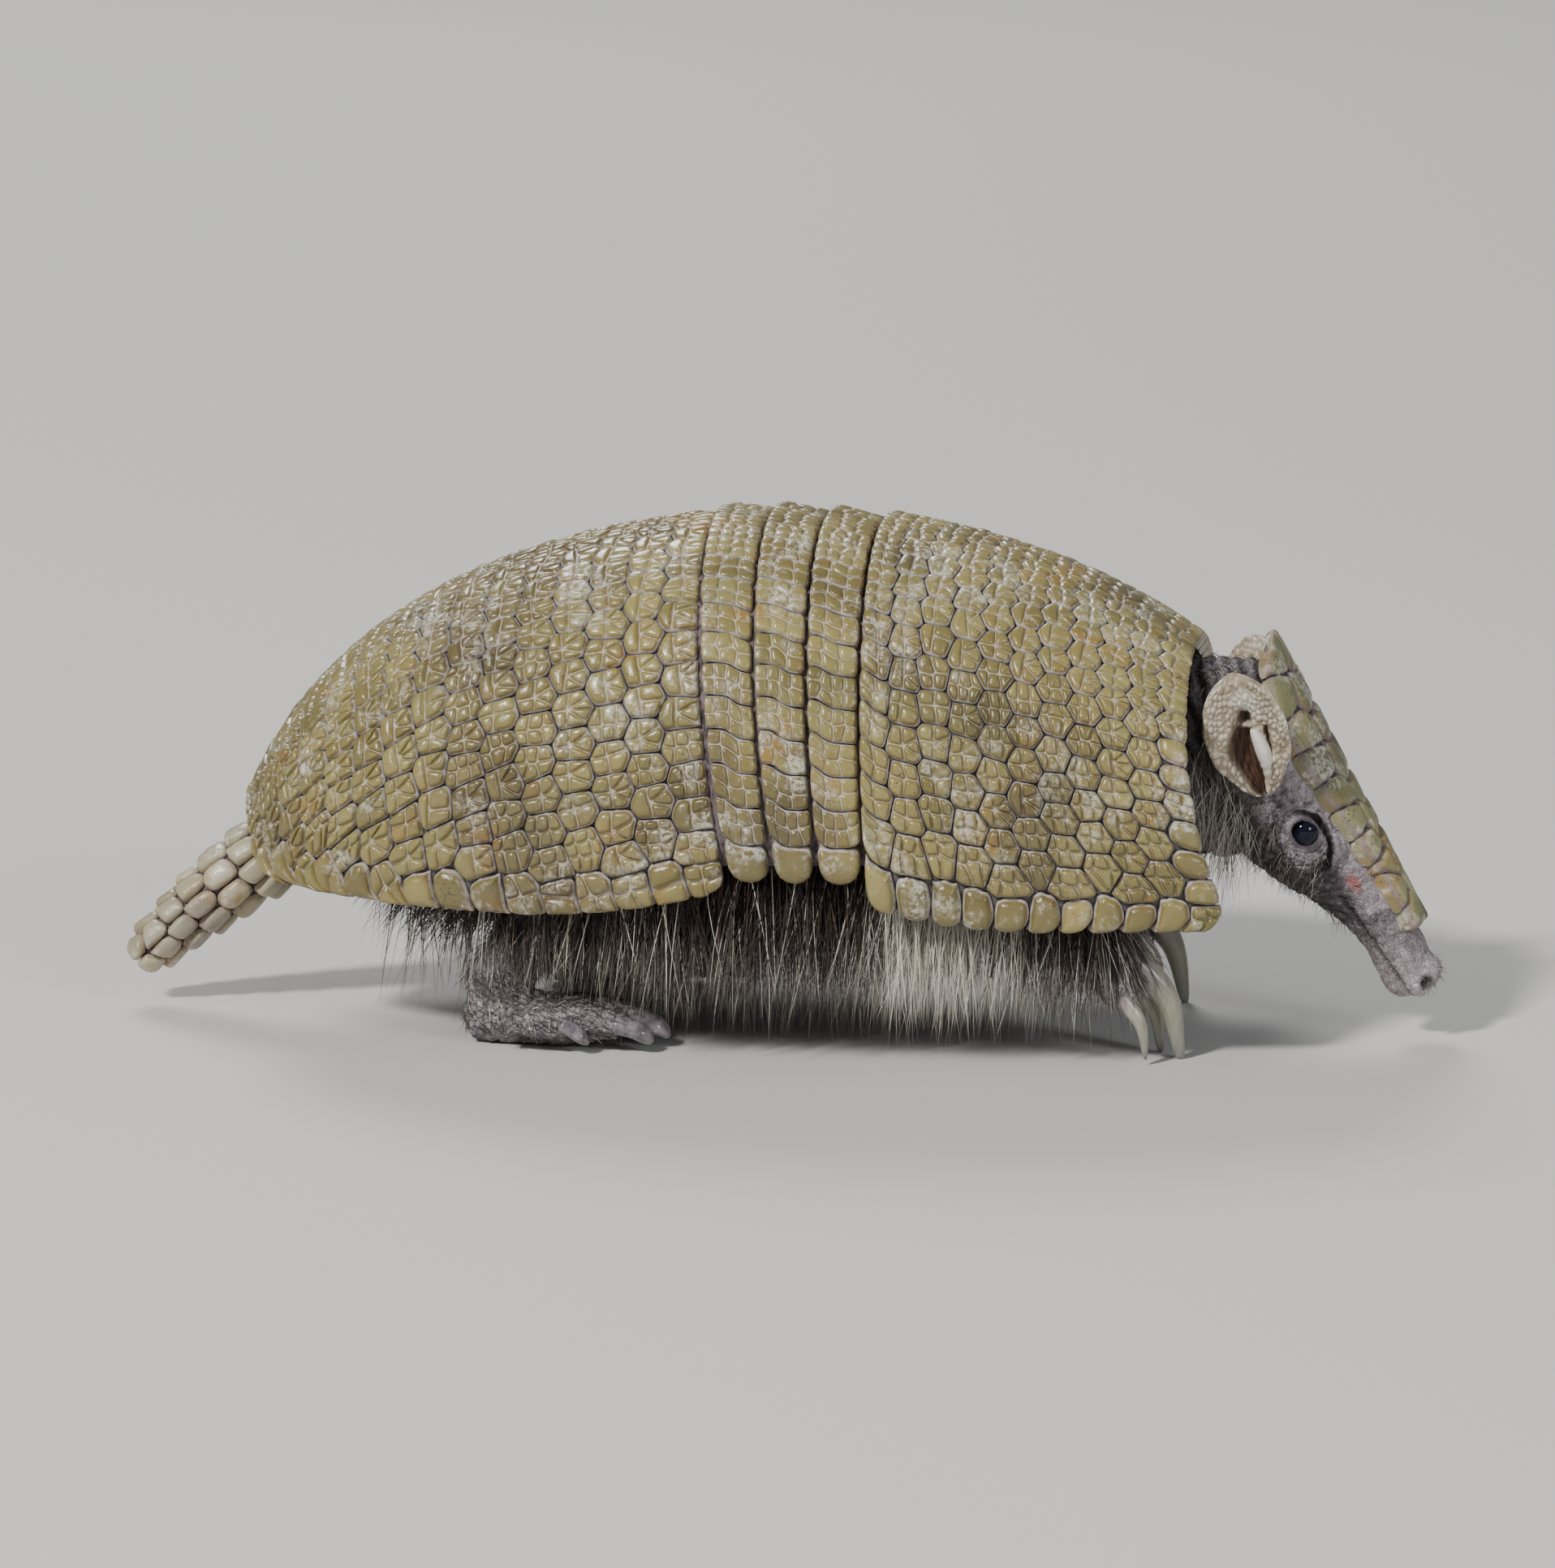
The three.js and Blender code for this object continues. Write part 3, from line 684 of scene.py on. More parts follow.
def linked(tree, kind, **inputs):
    """A new node with its named inputs fed."""
    node = tree.nodes.new(kind)
    for name, value in inputs.items():
        feed(tree, node.inputs[name], value)
    return node


def ramp(tree, factor, *stops):
    """A colour ramp with stops of (place, colour or grey)."""
    node = tree.nodes.new("ShaderNodeValToRGB")
    tree.links.new(factor, node.inputs[0])
    band = node.color_ramp
    while len(band.elements) < len(stops):
        band.elements.new(0.5)
    for element, (place, colour) in zip(band.elements, stops):
        element.position = place
        element.color = (colour, colour, colour, 1) if isinstance(colour, (int, float)) else (*colour, 1)
    return node.outputs[0]


def mixed(tree, factor, a, b, kind="MIX"):
    """Two colours mixed by a factor: kind is MIX, MULTIPLY and so on."""
    node = tree.nodes.new("ShaderNodeMix")
    node.data_type = "RGBA"
    node.blend_type = kind
    node.clamp_factor = True
    for index, value in ((0, factor), (6, a), (7, b)):
        feed(tree, node.inputs[index], value)
    return node.outputs[2]


def maths(tree, operation, a, b, c=0.0):
    """Two or three numbers put together."""
    node = tree.nodes.new("ShaderNodeMath")
    node.operation = operation
    for socket, value in zip(node.inputs, (a, b, c)):
        feed(tree, socket, value)
    return node.outputs[0]


def product(tree, a, b):
    return maths(tree, "MULTIPLY", a, b)


def stretched(tree, place, scale):
    """The place with a pattern's own scale along each axis."""
    return linked(tree, "ShaderNodeMapping", Vector=place, Scale=scale).outputs[0]


def cells(tree, place, scale, feature="F1"):
    """Cells with about scale of them to the metre: their distances and colours, or the way to their edges."""
    node = linked(tree, "ShaderNodeTexVoronoi", Vector=place, Scale=scale)
    node.feature = feature
    return node.outputs


def channels(tree, colour):
    """The red, green and blue of a colour."""
    return linked(tree, "ShaderNodeSeparateColor", Color=colour).outputs


def point_map(tree, name):
    """The outputs of a map that each point of the mesh carries."""
    node = tree.nodes.new("ShaderNodeAttribute")
    node.attribute_name = name
    return node.outputs


def noise(tree, place, scale, detail=3.0, rough=0.55):
    """Noise with about scale patches to the metre."""
    node = linked(tree, "ShaderNodeTexNoise", Vector=place, Scale=scale, Detail=detail, Roughness=rough)
    return node.outputs[0]


def bare_material(name, roughness):
    """A material with its shader, its node tree and the object coordinates that its patterns read."""
    material = bpy.data.materials.new(name)
    material.use_nodes = True
    tree = material.node_tree
    shader = tree.nodes["Principled BSDF"]
    shader.inputs["Roughness"].default_value = roughness
    place = tree.nodes.new("ShaderNodeTexCoord").outputs["Object"]
    return material, tree, shader, place


def bumped(tree, shader, height, distance, strength=1.0):
    """Bumps on the shader, as deep as the distance in metres."""
    node = linked(tree, "ShaderNodeBump", Height=height, Distance=distance, Strength=strength)
    tree.links.new(node.outputs[0], shader.inputs["Normal"])


def bare_group(name, inputs, outputs):
    """A node group with named sockets: its tree, its inputs by name and the node its results go into."""
    group = bpy.data.node_groups.new(name, "ShaderNodeTree")
    for direction, sockets in (("INPUT", inputs), ("OUTPUT", outputs)):
        for socket, kind in sockets.items():
            group.interface.new_socket(socket, in_out=direction, socket_type="NodeSocket" + kind)
    return group, group.nodes.new("NodeGroupInput").outputs, group.nodes.new("NodeGroupOutput").inputs


def placed(tree, group, **inputs):
    """A node group in a tree, with values or links for its named inputs: its outputs."""
    node = tree.nodes.new("ShaderNodeGroup")
    node.node_tree = group
    for name, value in inputs.items():
        feed(tree, node.inputs[name], value)
    return node.outputs


# Small dark specks, gathered where a wide noise is high.
speck_inputs = {"Place": "Vector", "Scale": "Float", "Share": "Float"}
specks, into, out = bare_group("specks", speck_inputs, {"Mask": "Float"})
fine = noise(specks, into["Place"], into["Scale"], 2.0, 0.6)
wide = noise(specks, into["Place"], 160.0, 2.0, 0.5)
level = maths(specks, "MULTIPLY_ADD", wide, 0.5, fine)
mask = product(specks, maths(specks, "SUBTRACT", level, maths(specks, "SUBTRACT", 1.12, into["Share"])), 14.0)
specks.links.new(maths(specks, "MINIMUM", maths(specks, "MAXIMUM", mask, 0.0), 1.0), out["Mask"])

# The horn of scutes is olive to tan and waxy, paler where it is worn, and brown on the beads' lower flanks,
# partly stain and partly painted shade. It has light cracks between beads, dark specks and a dusty grey
# groove round each scute, near black at the groove's bottom with painted shade. It reads the map that each
# point
# carries: how far it is from the scute's foot in red, from the crack in green, a random tone in blue.
scute_horn, into, out = bare_group(
    "scute_horn",
    {
        "Place": "Vector",
        "Map": "Color",
        "Bead": "Float",
        "Deep": "Color",
        "Light": "Color",
        "Crack": "Color",
        "Groove": "Color",
        "Specks": "Float",
    },
    {"Colour": "Color", "Roughness": "Float", "Height": "Float"},
)
tree, place = scute_horn, into["Place"]
foot, crest, scute_shade = channels(tree, into["Map"])
wide, middling, fine = noise(tree, place, 22), noise(tree, place, 130), noise(tree, place, 900, 4, 0.65)
blend = maths(tree, "MULTIPLY_ADD", scute_shade, 0.45, maths(tree, "MULTIPLY_ADD", wide, 0.9, -0.25))
blend = maths(tree, "MULTIPLY_ADD", into["Bead"], 0.3, blend)
colour = mixed(tree, blend, into["Deep"], into["Light"])
# Brown on the beads' lower flanks, where the crest is low: partly stain and partly painted shade, in patches.
patchy = ramp(tree, middling, (0.4, 0.12), (0.6, 1.0))
flank_stain_and_shade = product(tree, patchy, ramp(tree, crest, (0.25, 1.0), (0.8, 0.18)))
colour = mixed(tree, product(tree, flank_stain_and_shade, 0.8), colour, (0.22, 0.105, 0.022))
amber = ramp(tree, noise(tree, place, 90, 3, 0.6), (0.6, 0.0), (0.72, 0.7))
colour = mixed(tree, amber, colour, (0.32, 0.17, 0.035))
dull = ramp(tree, noise(tree, place, 30, 4, 0.62), (0.47, 0.0), (0.64, 0.8))
colour = mixed(tree, dull, colour, mixed(tree, 1.0, colour, (0.5, 0.47, 0.62), "MULTIPLY"))
worn_here = ramp(tree, noise(tree, place, 75, 5, 0.7), (0.52, 0.0), (0.64, 1.0))
worn = product(tree, worn_here, ramp(tree, fine, (0.42, 0.0), (0.58, 1.0)))
colour = mixed(tree, product(tree, worn, 0.72), colour, (0.66, 0.64, 0.57))
crack_tone = mixed(tree, ramp(tree, fine, (0.34, 0.0), (0.48, 1.0)), (0.19, 0.15, 0.1), into["Crack"])
crack_tone = mixed(tree, ramp(tree, middling, (0.36, 0.6), (0.47, 0.0)), crack_tone, (0.2, 0.155, 0.1))
colour = mixed(tree, ramp(tree, crest, (0.0, 0.88), (0.16, 0.5), (0.42, 0.0)), colour, crack_tone)
specked = product(tree, placed(tree, specks, Place=place, Scale=1500.0, Share=into["Specks"])[0], 0.75)
colour = mixed(tree, specked, colour, (0.035, 0.028, 0.02))
# The groove's dusty grey, with painted shade near black at its bottom, where the scute's foot lies deepest.
groove_dust_and_shade = ramp(tree, foot, (0.0, (0.02, 0.016, 0.018)), (0.3, (0.05, 0.042, 0.046)))
groove_dust_and_shade = mixed(tree, ramp(tree, foot, (0.3, 0.0), (0.62, 1.0)), groove_dust_and_shade, into["Groove"])
tree.links.new(mixed(tree, ramp(tree, foot, (0.55, 1.0), (0.98, 0.0)), colour, groove_dust_and_shade), out["Colour"])
rough = ramp(tree, product(tree, crest, foot), (0.1, 0.7), (0.8, 0.24))
tree.links.new(maths(tree, "MULTIPLY_ADD", fine, 0.14, maths(tree, "ADD", rough, -0.07)), out["Roughness"])
grain = maths(tree, "MULTIPLY_ADD", noise(tree, place, 2600, 3, 0.6), 0.35, fine)
tree.links.new(maths(tree, "MULTIPLY_ADD", worn, -0.35, grain), out["Height"])


def horn_of_scutes(name, deep, light, crack, groove, specked):
    """A finish of scutes in its own colours, and with its own share of specks."""
    material, tree, shader, place = bare_material(name, 0.42)
    scale_map = point_map(tree, "scale_map")
    marks = {"Place": place, "Map": scale_map["Color"], "Bead": scale_map["Alpha"]}
    colours = {"Deep": deep, "Light": light, "Crack": crack, "Groove": groove}
    horn = placed(tree, scute_horn, **marks, **colours, Specks=specked)
    tree.links.new(horn["Colour"], shader.inputs["Base Color"])
    tree.links.new(horn["Roughness"], shader.inputs["Roughness"])
    bumped(tree, shader, horn["Height"], 0.00022, 0.7)
    shader.inputs["Specular IOR Level"].default_value = 0.5
    return material


shell_horn = horn_of_scutes(
    "shell_horn",
    deep=(0.092, 0.077, 0.022),
    light=(0.35, 0.3, 0.108),
    crack=(0.56, 0.535, 0.475),
    groove=(0.3, 0.275, 0.28),
    specked=0.17,
)
shell_shader = shell_horn.node_tree.nodes["Principled BSDF"]
shell_shader.inputs["Coat Weight"].default_value = 0.35
shell_shader.inputs["Coat Roughness"].default_value = 0.2

bone_finish, tree, shader, place = bare_material("plate_bone", 0.8)
dust = mixed(tree, noise(tree, place, 400, 4, 0.6), (0.06, 0.05, 0.055), (0.17, 0.145, 0.13))
tree.links.new(dust, shader.inputs["Base Color"])
bumped(tree, shader, noise(tree, place, 1200), 0.0003)
for plate in (*front_pieces, *rear_pieces, *bands):
    plate.data.materials.append(shell_horn)
    plate.data.materials.append(bone_finish)

# Thin folded skin joins the bands and closes the gaps between the plates. It reaches under both shields.
HINGE_OVERLAP, HINGE_EDGE_Z = 6, 41
HINGE_OUTER, HINGE_INNER = -2.2, -3.4  # how deep its two faces lie in the plates
hinge_dome = Dome(
    lambda across: seam(3)(across) - HINGE_OVERLAP,
    lambda across: seam(0)(across) + HINGE_OVERLAP,
    lambda x: np.full_like(x, HINGE_EDGE_Z),
)
hinge_mesh = bmesh.new()
bmesh.ops.create_grid(hinge_mesh, x_segments=90, y_segments=44, size=1)
bmesh.ops.solidify(hinge_mesh, geom=hinge_mesh.faces[:], thickness=0.001)
flat = np.array([v.co for v in hinge_mesh.verts])
depth = np.where(flat[:, 2] < -0.0005, HINGE_INNER, HINGE_OUTER)
bent = hinge_dome.bend(flat[:, 0], flat[:, 1] / 2 + 0.5, depth)
for v, spot in zip(hinge_mesh.verts, bent):
    v.co = spot
bmesh.ops.recalc_face_normals(hinge_mesh, faces=hinge_mesh.faces)
hinge_skin = finished_piece("hinge_skin", hinge_mesh, 0)
hinge_finish, tree, shader, place = bare_material("hinge_skin", 0.75)
folds = noise(tree, stretched(tree, place, (2.4, 1, 1)), 420, 4, 0.65)
colour = mixed(tree, noise(tree, place, 60), (0.1, 0.08, 0.085), (0.24, 0.19, 0.2))
# Painted shade: the hollows of the folds are darkened.
colour = mixed(tree, ramp(tree, folds, (0.4, 1.0), (0.55, 0.0)), colour, (0.04, 0.03, 0.034))
tree.links.new(colour, shader.inputs["Base Color"])
bumped(tree, shader, folds, 0.0006)
hinge_skin.data.materials.append(hinge_finish)

# ----------------------------------------------------------------------------------------------- head plates
# One shield of horn plates on bone over the forehead, squarish and in two rows down the nose, larger behind,
# where the thin rear edge stands free over the neck. It is bent onto the head as the shell is onto its dome.

HEAD_HALF, HEAD_LENGTH = 14, 68
HEAD_GROOVE = 0.17


class HeadDome(Sheet):
    """The forehead's surface, in the same terms as the shell's dome."""

    def bend(self, across, along, height):
        s = -1 + HEAD_LENGTH * along
        t = np.clip((s - 18) / 44, 0, 1)
        wide = 15.5 + (5.6 - 15.5) * t * t * (3 - 2 * t)
        rounded = wide * np.sin(np.arccos(np.clip(1 - (s + 1) / 16, 0, 1)) * 0.9 + 0.16)
        left = across * rounded
        above = 1.75 + height * (0.62 + 0.38 * np.clip(s / 12, 0, 1)) - 0.33 * left**2 / wide
        place = np.array(SKULL) + s[:, None] * np.array(HEAD_ALONG) + above[:, None] * np.array(HEAD_UP)
        place[:, 1] += left
        return in_frame(place)


plate_rng = random.Random(5)
head_seeds = []
head_rows = ((4, 3), (12.5, 4), (21, 3), (29, 4), (36, 3), (42.5, 4), (48.5, 3), (54, 2), (59, 3), (64.5, 2))
for y, count in head_rows:  # how far along the head, and how many plates
    for i in range(count):
        x = HEAD_HALF * (2 * (i + 0.5) / count - 1)
        shift = Vector((plate_rng.uniform(-0.5, 0.5), plate_rng.uniform(-0.7, 0.7) + 1.6 * (i % 2) - 0.8))
        head_seeds.append((Vector((x, y)) + shift, "smooth"))
head_plates = scuted_plate(
    "head_plates",
    HeadDome(),
    HEAD_HALF,
    HEAD_LENGTH,
    laid_out(head_seeds, HEAD_HALF, HEAD_LENGTH, groove=HEAD_GROOVE),
    plate_rng,
    lambda across, along: 0.42 + 0.35 * along,
    groove=HEAD_GROOVE,
)
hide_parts("head_shield")
head_horn = horn_of_scutes(
    "head_horn",
    deep=(0.12, 0.12, 0.05),
    light=(0.33, 0.32, 0.17),
    crack=(0.24, 0.2, 0.22),
    groove=(0.2, 0.165, 0.19),
    specked=0.22,
)
head_plates.data.materials.append(head_horn)
head_plates.data.materials.append(bone_finish)

# ---------------------------------------------------------------------------------------------------- skin
# One hide over head, neck, trunk, legs and feet. Round lofts are merged into one mesh and smoothed, then the
# lids, folds, mouth, nostrils and scales are raised or pressed into it.


def unit(vectors):
    return vectors / np.maximum(np.linalg.norm(vectors, axis=-1, keepdims=True), 1e-9)


def curve_through(points, shares):
    """Places along a smooth curve through points, at shares from 0 to 1 of its spans."""
    points = np.array(points, float)
    padded = np.vstack([2 * points[0] - points[1], points, 2 * points[-1] - points[-2]])
    along = np.clip(np.asarray(shares) * (len(points) - 1), 0, len(points) - 1 - 1e-9)
    span = along.astype(int)
    t = (along - span)[:, None]
    a, b, c, d = (padded[span + k] for k in range(4))
    return 0.5 * (2 * b + (c - a) * t + (2 * a - 5 * b + 4 * c - d) * t**2 + (3 * b - a - 3 * c + d) * t**3)


def signed_power(value, exponent):
    return np.sign(value) * np.abs(value) ** exponent


def axes_along(line):
    """Three directions at each place of a line: ahead, level across and up."""
    ahead = unit(np.gradient(line, axis=0))
    across = unit(np.array([0, 1.0, 0]) - ahead * ahead[:, 1:2])
    return ahead, across, np.cross(ahead, across)


def close_tube(bm, loops):
    """Joins loops of points into a closed tube, with both ends filled."""
    for near, far in zip(loops, loops[1:]):
        for k in range(len(near)):
            m = (k + 1) % len(near)
            bm.faces.new((near[k], near[m], far[m], far[k]))
    bm.faces.new(loops[0][::-1])
    bm.faces.new(loops[-1])


CAP_TURNS = (35, 60, 80)  # degrees round each end of a tube
TUBE_POWER = 2.2  # squareness of a tube's section


def lofted(bm, stations, rings, sides, cap=0.8, taper=0.0):
    """Adds a closed tube through stations of (x, y, z, half width, half depth), round at both ends."""
    line = curve_through(stations, np.linspace(0, 1, rings))
    spine, size = line[:, :3], line[:, 3:5]
    ahead, side, up = axes_along(spine)
    angle = np.linspace(0, 2 * math.pi, sides, endpoint=False)
    across = signed_power(np.cos(angle), 2 / TUBE_POWER) * (1 - taper * np.clip(-np.sin(angle), 0, 1))
    above = signed_power(np.sin(angle), 2 / TUBE_POWER)
    loops = []
    turns = [(0, -t) for t in reversed(CAP_TURNS)]
    turns += [(i, 0) for i in range(rings)]
    turns += [(rings - 1, t) for t in CAP_TURNS]
    for index, degrees in turns:
        turn = math.radians(degrees)
        middle = spine[index] + ahead[index] * math.sin(turn) * size[index].min() * cap
        ring = (
            middle
            + np.outer(across * size[index, 0] * math.cos(turn), side[index])
            + np.outer(above * size[index, 1] * math.cos(turn), up[index])
        )
        loops.append([bm.verts.new(p) for p in ring])
    close_tube(bm, loops)


# Sections of the head: how far along, how deep and half as wide.
HEAD_STATIONS = (
    (6, 23.5, 14),
    (13, 27, 17.5),
    (22, 29, 18.5),
    (34, 26.5, 16.5),
    (45, 21, 11.8),
    (55, 16, 8.4),
    (65, 12.8, 6.8),
    (72, 12.7, 6.8),
    (77, 12.6, 6.6),
)
# Sections of the other parts: the middle's x, y and z, half the width and half the depth.
NECK_STATIONS = ((50, 0, 60, 17, 15.5), (63, 0, 61, 18, 15.6), (73, 0, 63, 17.4, 16), (80, 0, 64, 16, 14))
SHOULDER_Z = 66
FORE_LEG = (
    (45, 26, 66, 12, 15),
    (39, 30, 49, 9.6, 11.6),
    (46, 31, 34, 7.1, 8.1),
    (52, 30, 23, 6.4, 6.2),
    (55.3, 28.5, 16.5, 8, 4.8),
)
HIND_LEG = (
    (-68, 23, 66, 14, 18),
    (-58, 27, 49, 11.6, 14.4),
    (-57, 31, 34, 8.6, 10.4),
    (-68, 32, 22, 6.6, 7.6),
    (-77, 31, 12, 5.6, 6.2),
)
HIND_FOOT = (
    (-79, 31, 5.6, 4.9, 6),
    (-68, 31.5, 5.4, 5.9, 5.8),
    (-60, 32, 5.2, 7.6, 5.2),
    (-55, 32, 4.8, 8, 4.4),
)
# Claws by digit, from the inside out: base, bend and tip, then half width and half depth at the base.
FORE_CLAWS = (
    ((54, 20.5, 14), (57, 20, 10), (57.8, 19.6, 4.5), (1.6, 1.8)),
    ((55, 24.2, 16), (60.2, 23.6, 9), (61.8, 23, -1), (2.2, 2.7)),
    ((53.5, 29.6, 21), (62.8, 29.2, 13), (66.5, 28.6, -1), (3.5, 4.4)),
    ((54, 35.4, 14), (58.5, 36, 8.5), (59.8, 36.2, 1.2), (2, 2.3)),
)
HIND_NAILS = (
    ((-60, 22.6, 6), (-57, 22.4, 4.2), (-54.4, 22.3, 2.2), (2.3, 1.9)),
    ((-49.5, 25.7, 5.6), (-45, 25.6, 4.4), (-41.6, 25.5, 2.2), (2.8, 2.4)),
    ((-48, 32, 5.8), (-43, 32, 4.6), (-39, 32, 2.2), (3, 2.6)),
    ((-49.5, 38.3, 5.6), (-45, 38.4, 4.4), (-41.6, 38.5, 2.2), (2.8, 2.4)),
    ((-60, 41.4, 6), (-57, 41.6, 4.2), (-54.4, 41.7, 2.2), (2.3, 1.9)),
)
SIDES = {"right": -1, "left": 1}
FORE_STRIDE = {"right": 0, "left": -5}  # how far forward each leg is set
HIND_STRIDE = {"right": 0, "left": 7}
FORE_SHARE, HIND_SHARE = 0.82, 0.9  # how much of that its claws and foot follow
FORE_FOOT_Y, HIND_FOOT_Y = 30, 32  # the middle of each foot
FLOOR_GAP = 0.05  # the flesh ends this far above the floor before it is merged


def smooth_step(value, low, high):
    """A smooth rise from 0 at low to 1 at high."""
    t = np.clip((value - low) / (high - low), 0, 1)
    return t * t * (3 - 2 * t)


def lattice(cells, salt):
    """A random number from 0 to 1 for each cell of a grid."""
    mixed_up = np.sin(cells @ np.array([127.1, 311.7, 74.7]) + salt * 19.19) * 43758.5453
    return mixed_up - np.floor(mixed_up)


def lumps(spots, size, salt=0.0):
    """Smooth noise from 0 to 1 with lumps about size wide."""
    scaled = spots / size
    cell = np.floor(scaled)
    part = scaled - cell
    part = part * part * (3 - 2 * part)
    total = np.zeros(len(spots))
    for corner in np.ndindex(2, 2, 2):
        corner = np.array(corner)
        weight = np.prod(np.where(corner == 1, part, 1 - part), axis=1)
        total += weight * lattice(cell + corner, salt)
    return total


def creases(spots, size, salt=0.0):
    """Narrow valleys, 1 along their bottoms and 0 between them."""
    return 1 - np.clip(np.abs(2 * lumps(spots, size, salt) - 1) * 3.2, 0, 1)


def grains(spots, size, salt=0.0):
    """How high each place stands on a round grain about size wide: 1 on top and 0 in the crack round it."""
    scaled = spots / size
    cell = np.floor(scaled)
    first = np.full(len(spots), 9.0)
    second = np.full(len(spots), 9.0)
    for step in np.ndindex(3, 3, 3):
        here = cell + np.array(step) - 1
        seed = here + np.stack([lattice(here, salt + k) for k in (1, 2, 3)], axis=1) * 0.8 + 0.1
        distance = np.linalg.norm(seed - scaled, axis=1)
        second = np.minimum(second, np.maximum(first, distance))
        first = np.minimum(first, distance)
    return smooth_step(second - first, 0, 0.55)


flesh = bmesh.new()
head_line = []
for s, depth, wide in HEAD_STATIONS:
    middle = head_point(s, 0, -depth / 2 + 0.15)
    head_line.append((middle.x, 0, middle.z, wide - 0.25, depth / 2 - 0.2))
lofted(flesh, head_line, rings=40, sides=40, cap=0.5, taper=0.16)
lofted(flesh, NECK_STATIONS, rings=10, sides=32, cap=0.3)

# The trunk stays clear of the plates above it, and its belly lies a coat's depth inside the hair.
TRUNK_REAR, TRUNK_FRONT, TRUNK_RINGS, TRUNK_SIDES = -114, 59, 44, 56
TRUNK_MIDDLE, TRUNK_REACH, TRUNK_POWER = -27.5, 88.5, 5
SIDE_CLEARANCE, TOP_CLEARANCE, BELLY_Z = 7.6, 8, 25.5
trunk_loops = []
around = np.linspace(0, 2 * math.pi, TRUNK_SIDES, endpoint=False)
for x in np.linspace(TRUNK_REAR, TRUNK_FRONT, TRUNK_RINGS):
    end = float(arc(x - TRUNK_MIDDLE, TRUNK_REACH, TRUNK_POWER))
    waist = float(waist_z(x))
    wide = (float(half_width(x)) - SIDE_CLEARANCE) * end
    rise = float(7 * smooth_step(x, 30, 60) + 9 * (1 - smooth_step(x, -118, -85)))
    top = (float(back_z(x)) - waist - TOP_CLEARANCE) * end
    bottom = (waist - BELLY_Z - rise) * end
    up = np.cos(around)
    y = wide * signed_power(np.sin(around), 2 / 2.4)
    z = waist + np.where(up > 0, top * np.abs(up) ** (2 / 2.3), -bottom * np.abs(up) ** (2 / 2.5))
    trunk_loops.append([flesh.verts.new((x, *p)) for p in zip(y, z)])
close_tube(flesh, trunk_loops)


def stepped(stations, side, stride):
    """Leg stations on one side, bent after a foot that is set forward or back."""
    return [(x + stride * (1 - min(1, z / SHOULDER_Z)), side * y, z, w, d) for x, y, z, w, d in stations]


def toe(side, stride, knuckle, base, sheath, girths, cap):
    """Adds a toe, or the sheath of a claw, from its knuckle through the claw's base to a little way along."""
    shift = Vector((stride, 0, 0))
    joints = [(place + shift, girth) for place, girth in zip((knuckle, base, sheath), girths)]
    lofted(flesh, [(p.x, side * p.y, p.z, *girth) for p, girth in joints], rings=9, sides=16, cap=cap)


for side_name, side in SIDES.items():
    fore, hind = FORE_STRIDE[side_name], HIND_STRIDE[side_name]
    foot = [(x + hind * HIND_SHARE, side * y, z, w, d) for x, y, z, w, d in HIND_FOOT]
    lofted(flesh, stepped(FORE_LEG, side, fore), rings=22, sides=24)
    lofted(flesh, stepped(HIND_LEG, side, hind), rings=22, sides=24)
    lofted(flesh, foot, rings=14, sides=24, cap=0.7)
    for base, bend, tip, (w, d) in FORE_CLAWS:
        base, bend = Vector(base), Vector(bend)
        knuckle = Vector((50, FORE_FOOT_Y + (base.y - FORE_FOOT_Y) * 0.7, base.z + 4))
        girths = ((w + 1.3, d + 1.2), (w + 1.05, d + 0.9), (w * 0.9 + 0.5, d * 0.9 + 0.4))
        toe(side, fore * FORE_SHARE, knuckle, base, base.lerp(bend, 0.3), girths, cap=0.5)
    for base, bend, tip, (w, d) in HIND_NAILS:
        base, bend = Vector(base), Vector(bend)
        knuckle = Vector((base.x - 12, HIND_FOOT_Y + (base.y - HIND_FOOT_Y) * 0.8, 6))
        girths = ((w + 0.7, d + 1.6), (w + 0.55, d + 1.2), (w + 0.25, d + 0.4))
        toe(side, hind * HIND_SHARE, knuckle, base, base.lerp(bend, 0.34), girths, cap=0.4)

for v in flesh.verts:
    v.co.z = max(v.co.z, FLOOR_GAP)
bmesh.ops.recalc_face_normals(flesh, faces=flesh.faces)


def applied(thing):
    """The thing's mesh with its modifiers applied. The thing itself is removed."""
    graph = bpy.context.evaluated_depsgraph_get()
    data = bpy.data.meshes.new_from_object(thing.evaluated_get(graph))
    bpy.data.objects.remove(thing)
    return data


flesh_form = set_down("flesh", mesh_of("flesh", flesh))
merging = flesh_form.modifiers.new("merging", "REMESH")
merging.mode = "VOXEL"
merging.voxel_size = 1.2
skin_data = applied(flesh_form)


def read_all(items, key, width=3, kind=float):
    """One row of values for each of a mesh's points, edges or faces."""
    flat = np.empty(len(items) * width, dtype=kind)
    items.foreach_get(key, flat)
    return flat.reshape(-1, width)


def places_of(data):
    return read_all(data.vertices, "co")


def put_places(data, spots):
    data.vertices.foreach_set("co", spots.ravel())
    data.update()


def eased(data, times, amount=0.6):
    """Draws each point towards the middle of its neighbours."""
    spots, edges = places_of(data), read_all(data.edges, "vertices", 2, np.int64)
    count = np.bincount(edges.ravel(), minlength=len(spots))[:, None]
    for _ in range(times):
        total = np.zeros_like(spots)
        for axis in range(3):
            total[:, axis] = np.bincount(edges[:, 0], spots[edges[:, 1], axis], len(spots))
            total[:, axis] += np.bincount(edges[:, 1], spots[edges[:, 0], axis], len(spots))
        spots = spots + (total / count - spots) * amount
    put_places(data, spots)


def in_head(spots):
    """Places as (along the head, out to the left, above the forehead line)."""
    from_skull = spots - np.array(SKULL)
    return from_skull @ np.array(HEAD_ALONG), spots[:, 1], from_skull @ np.array(HEAD_UP)


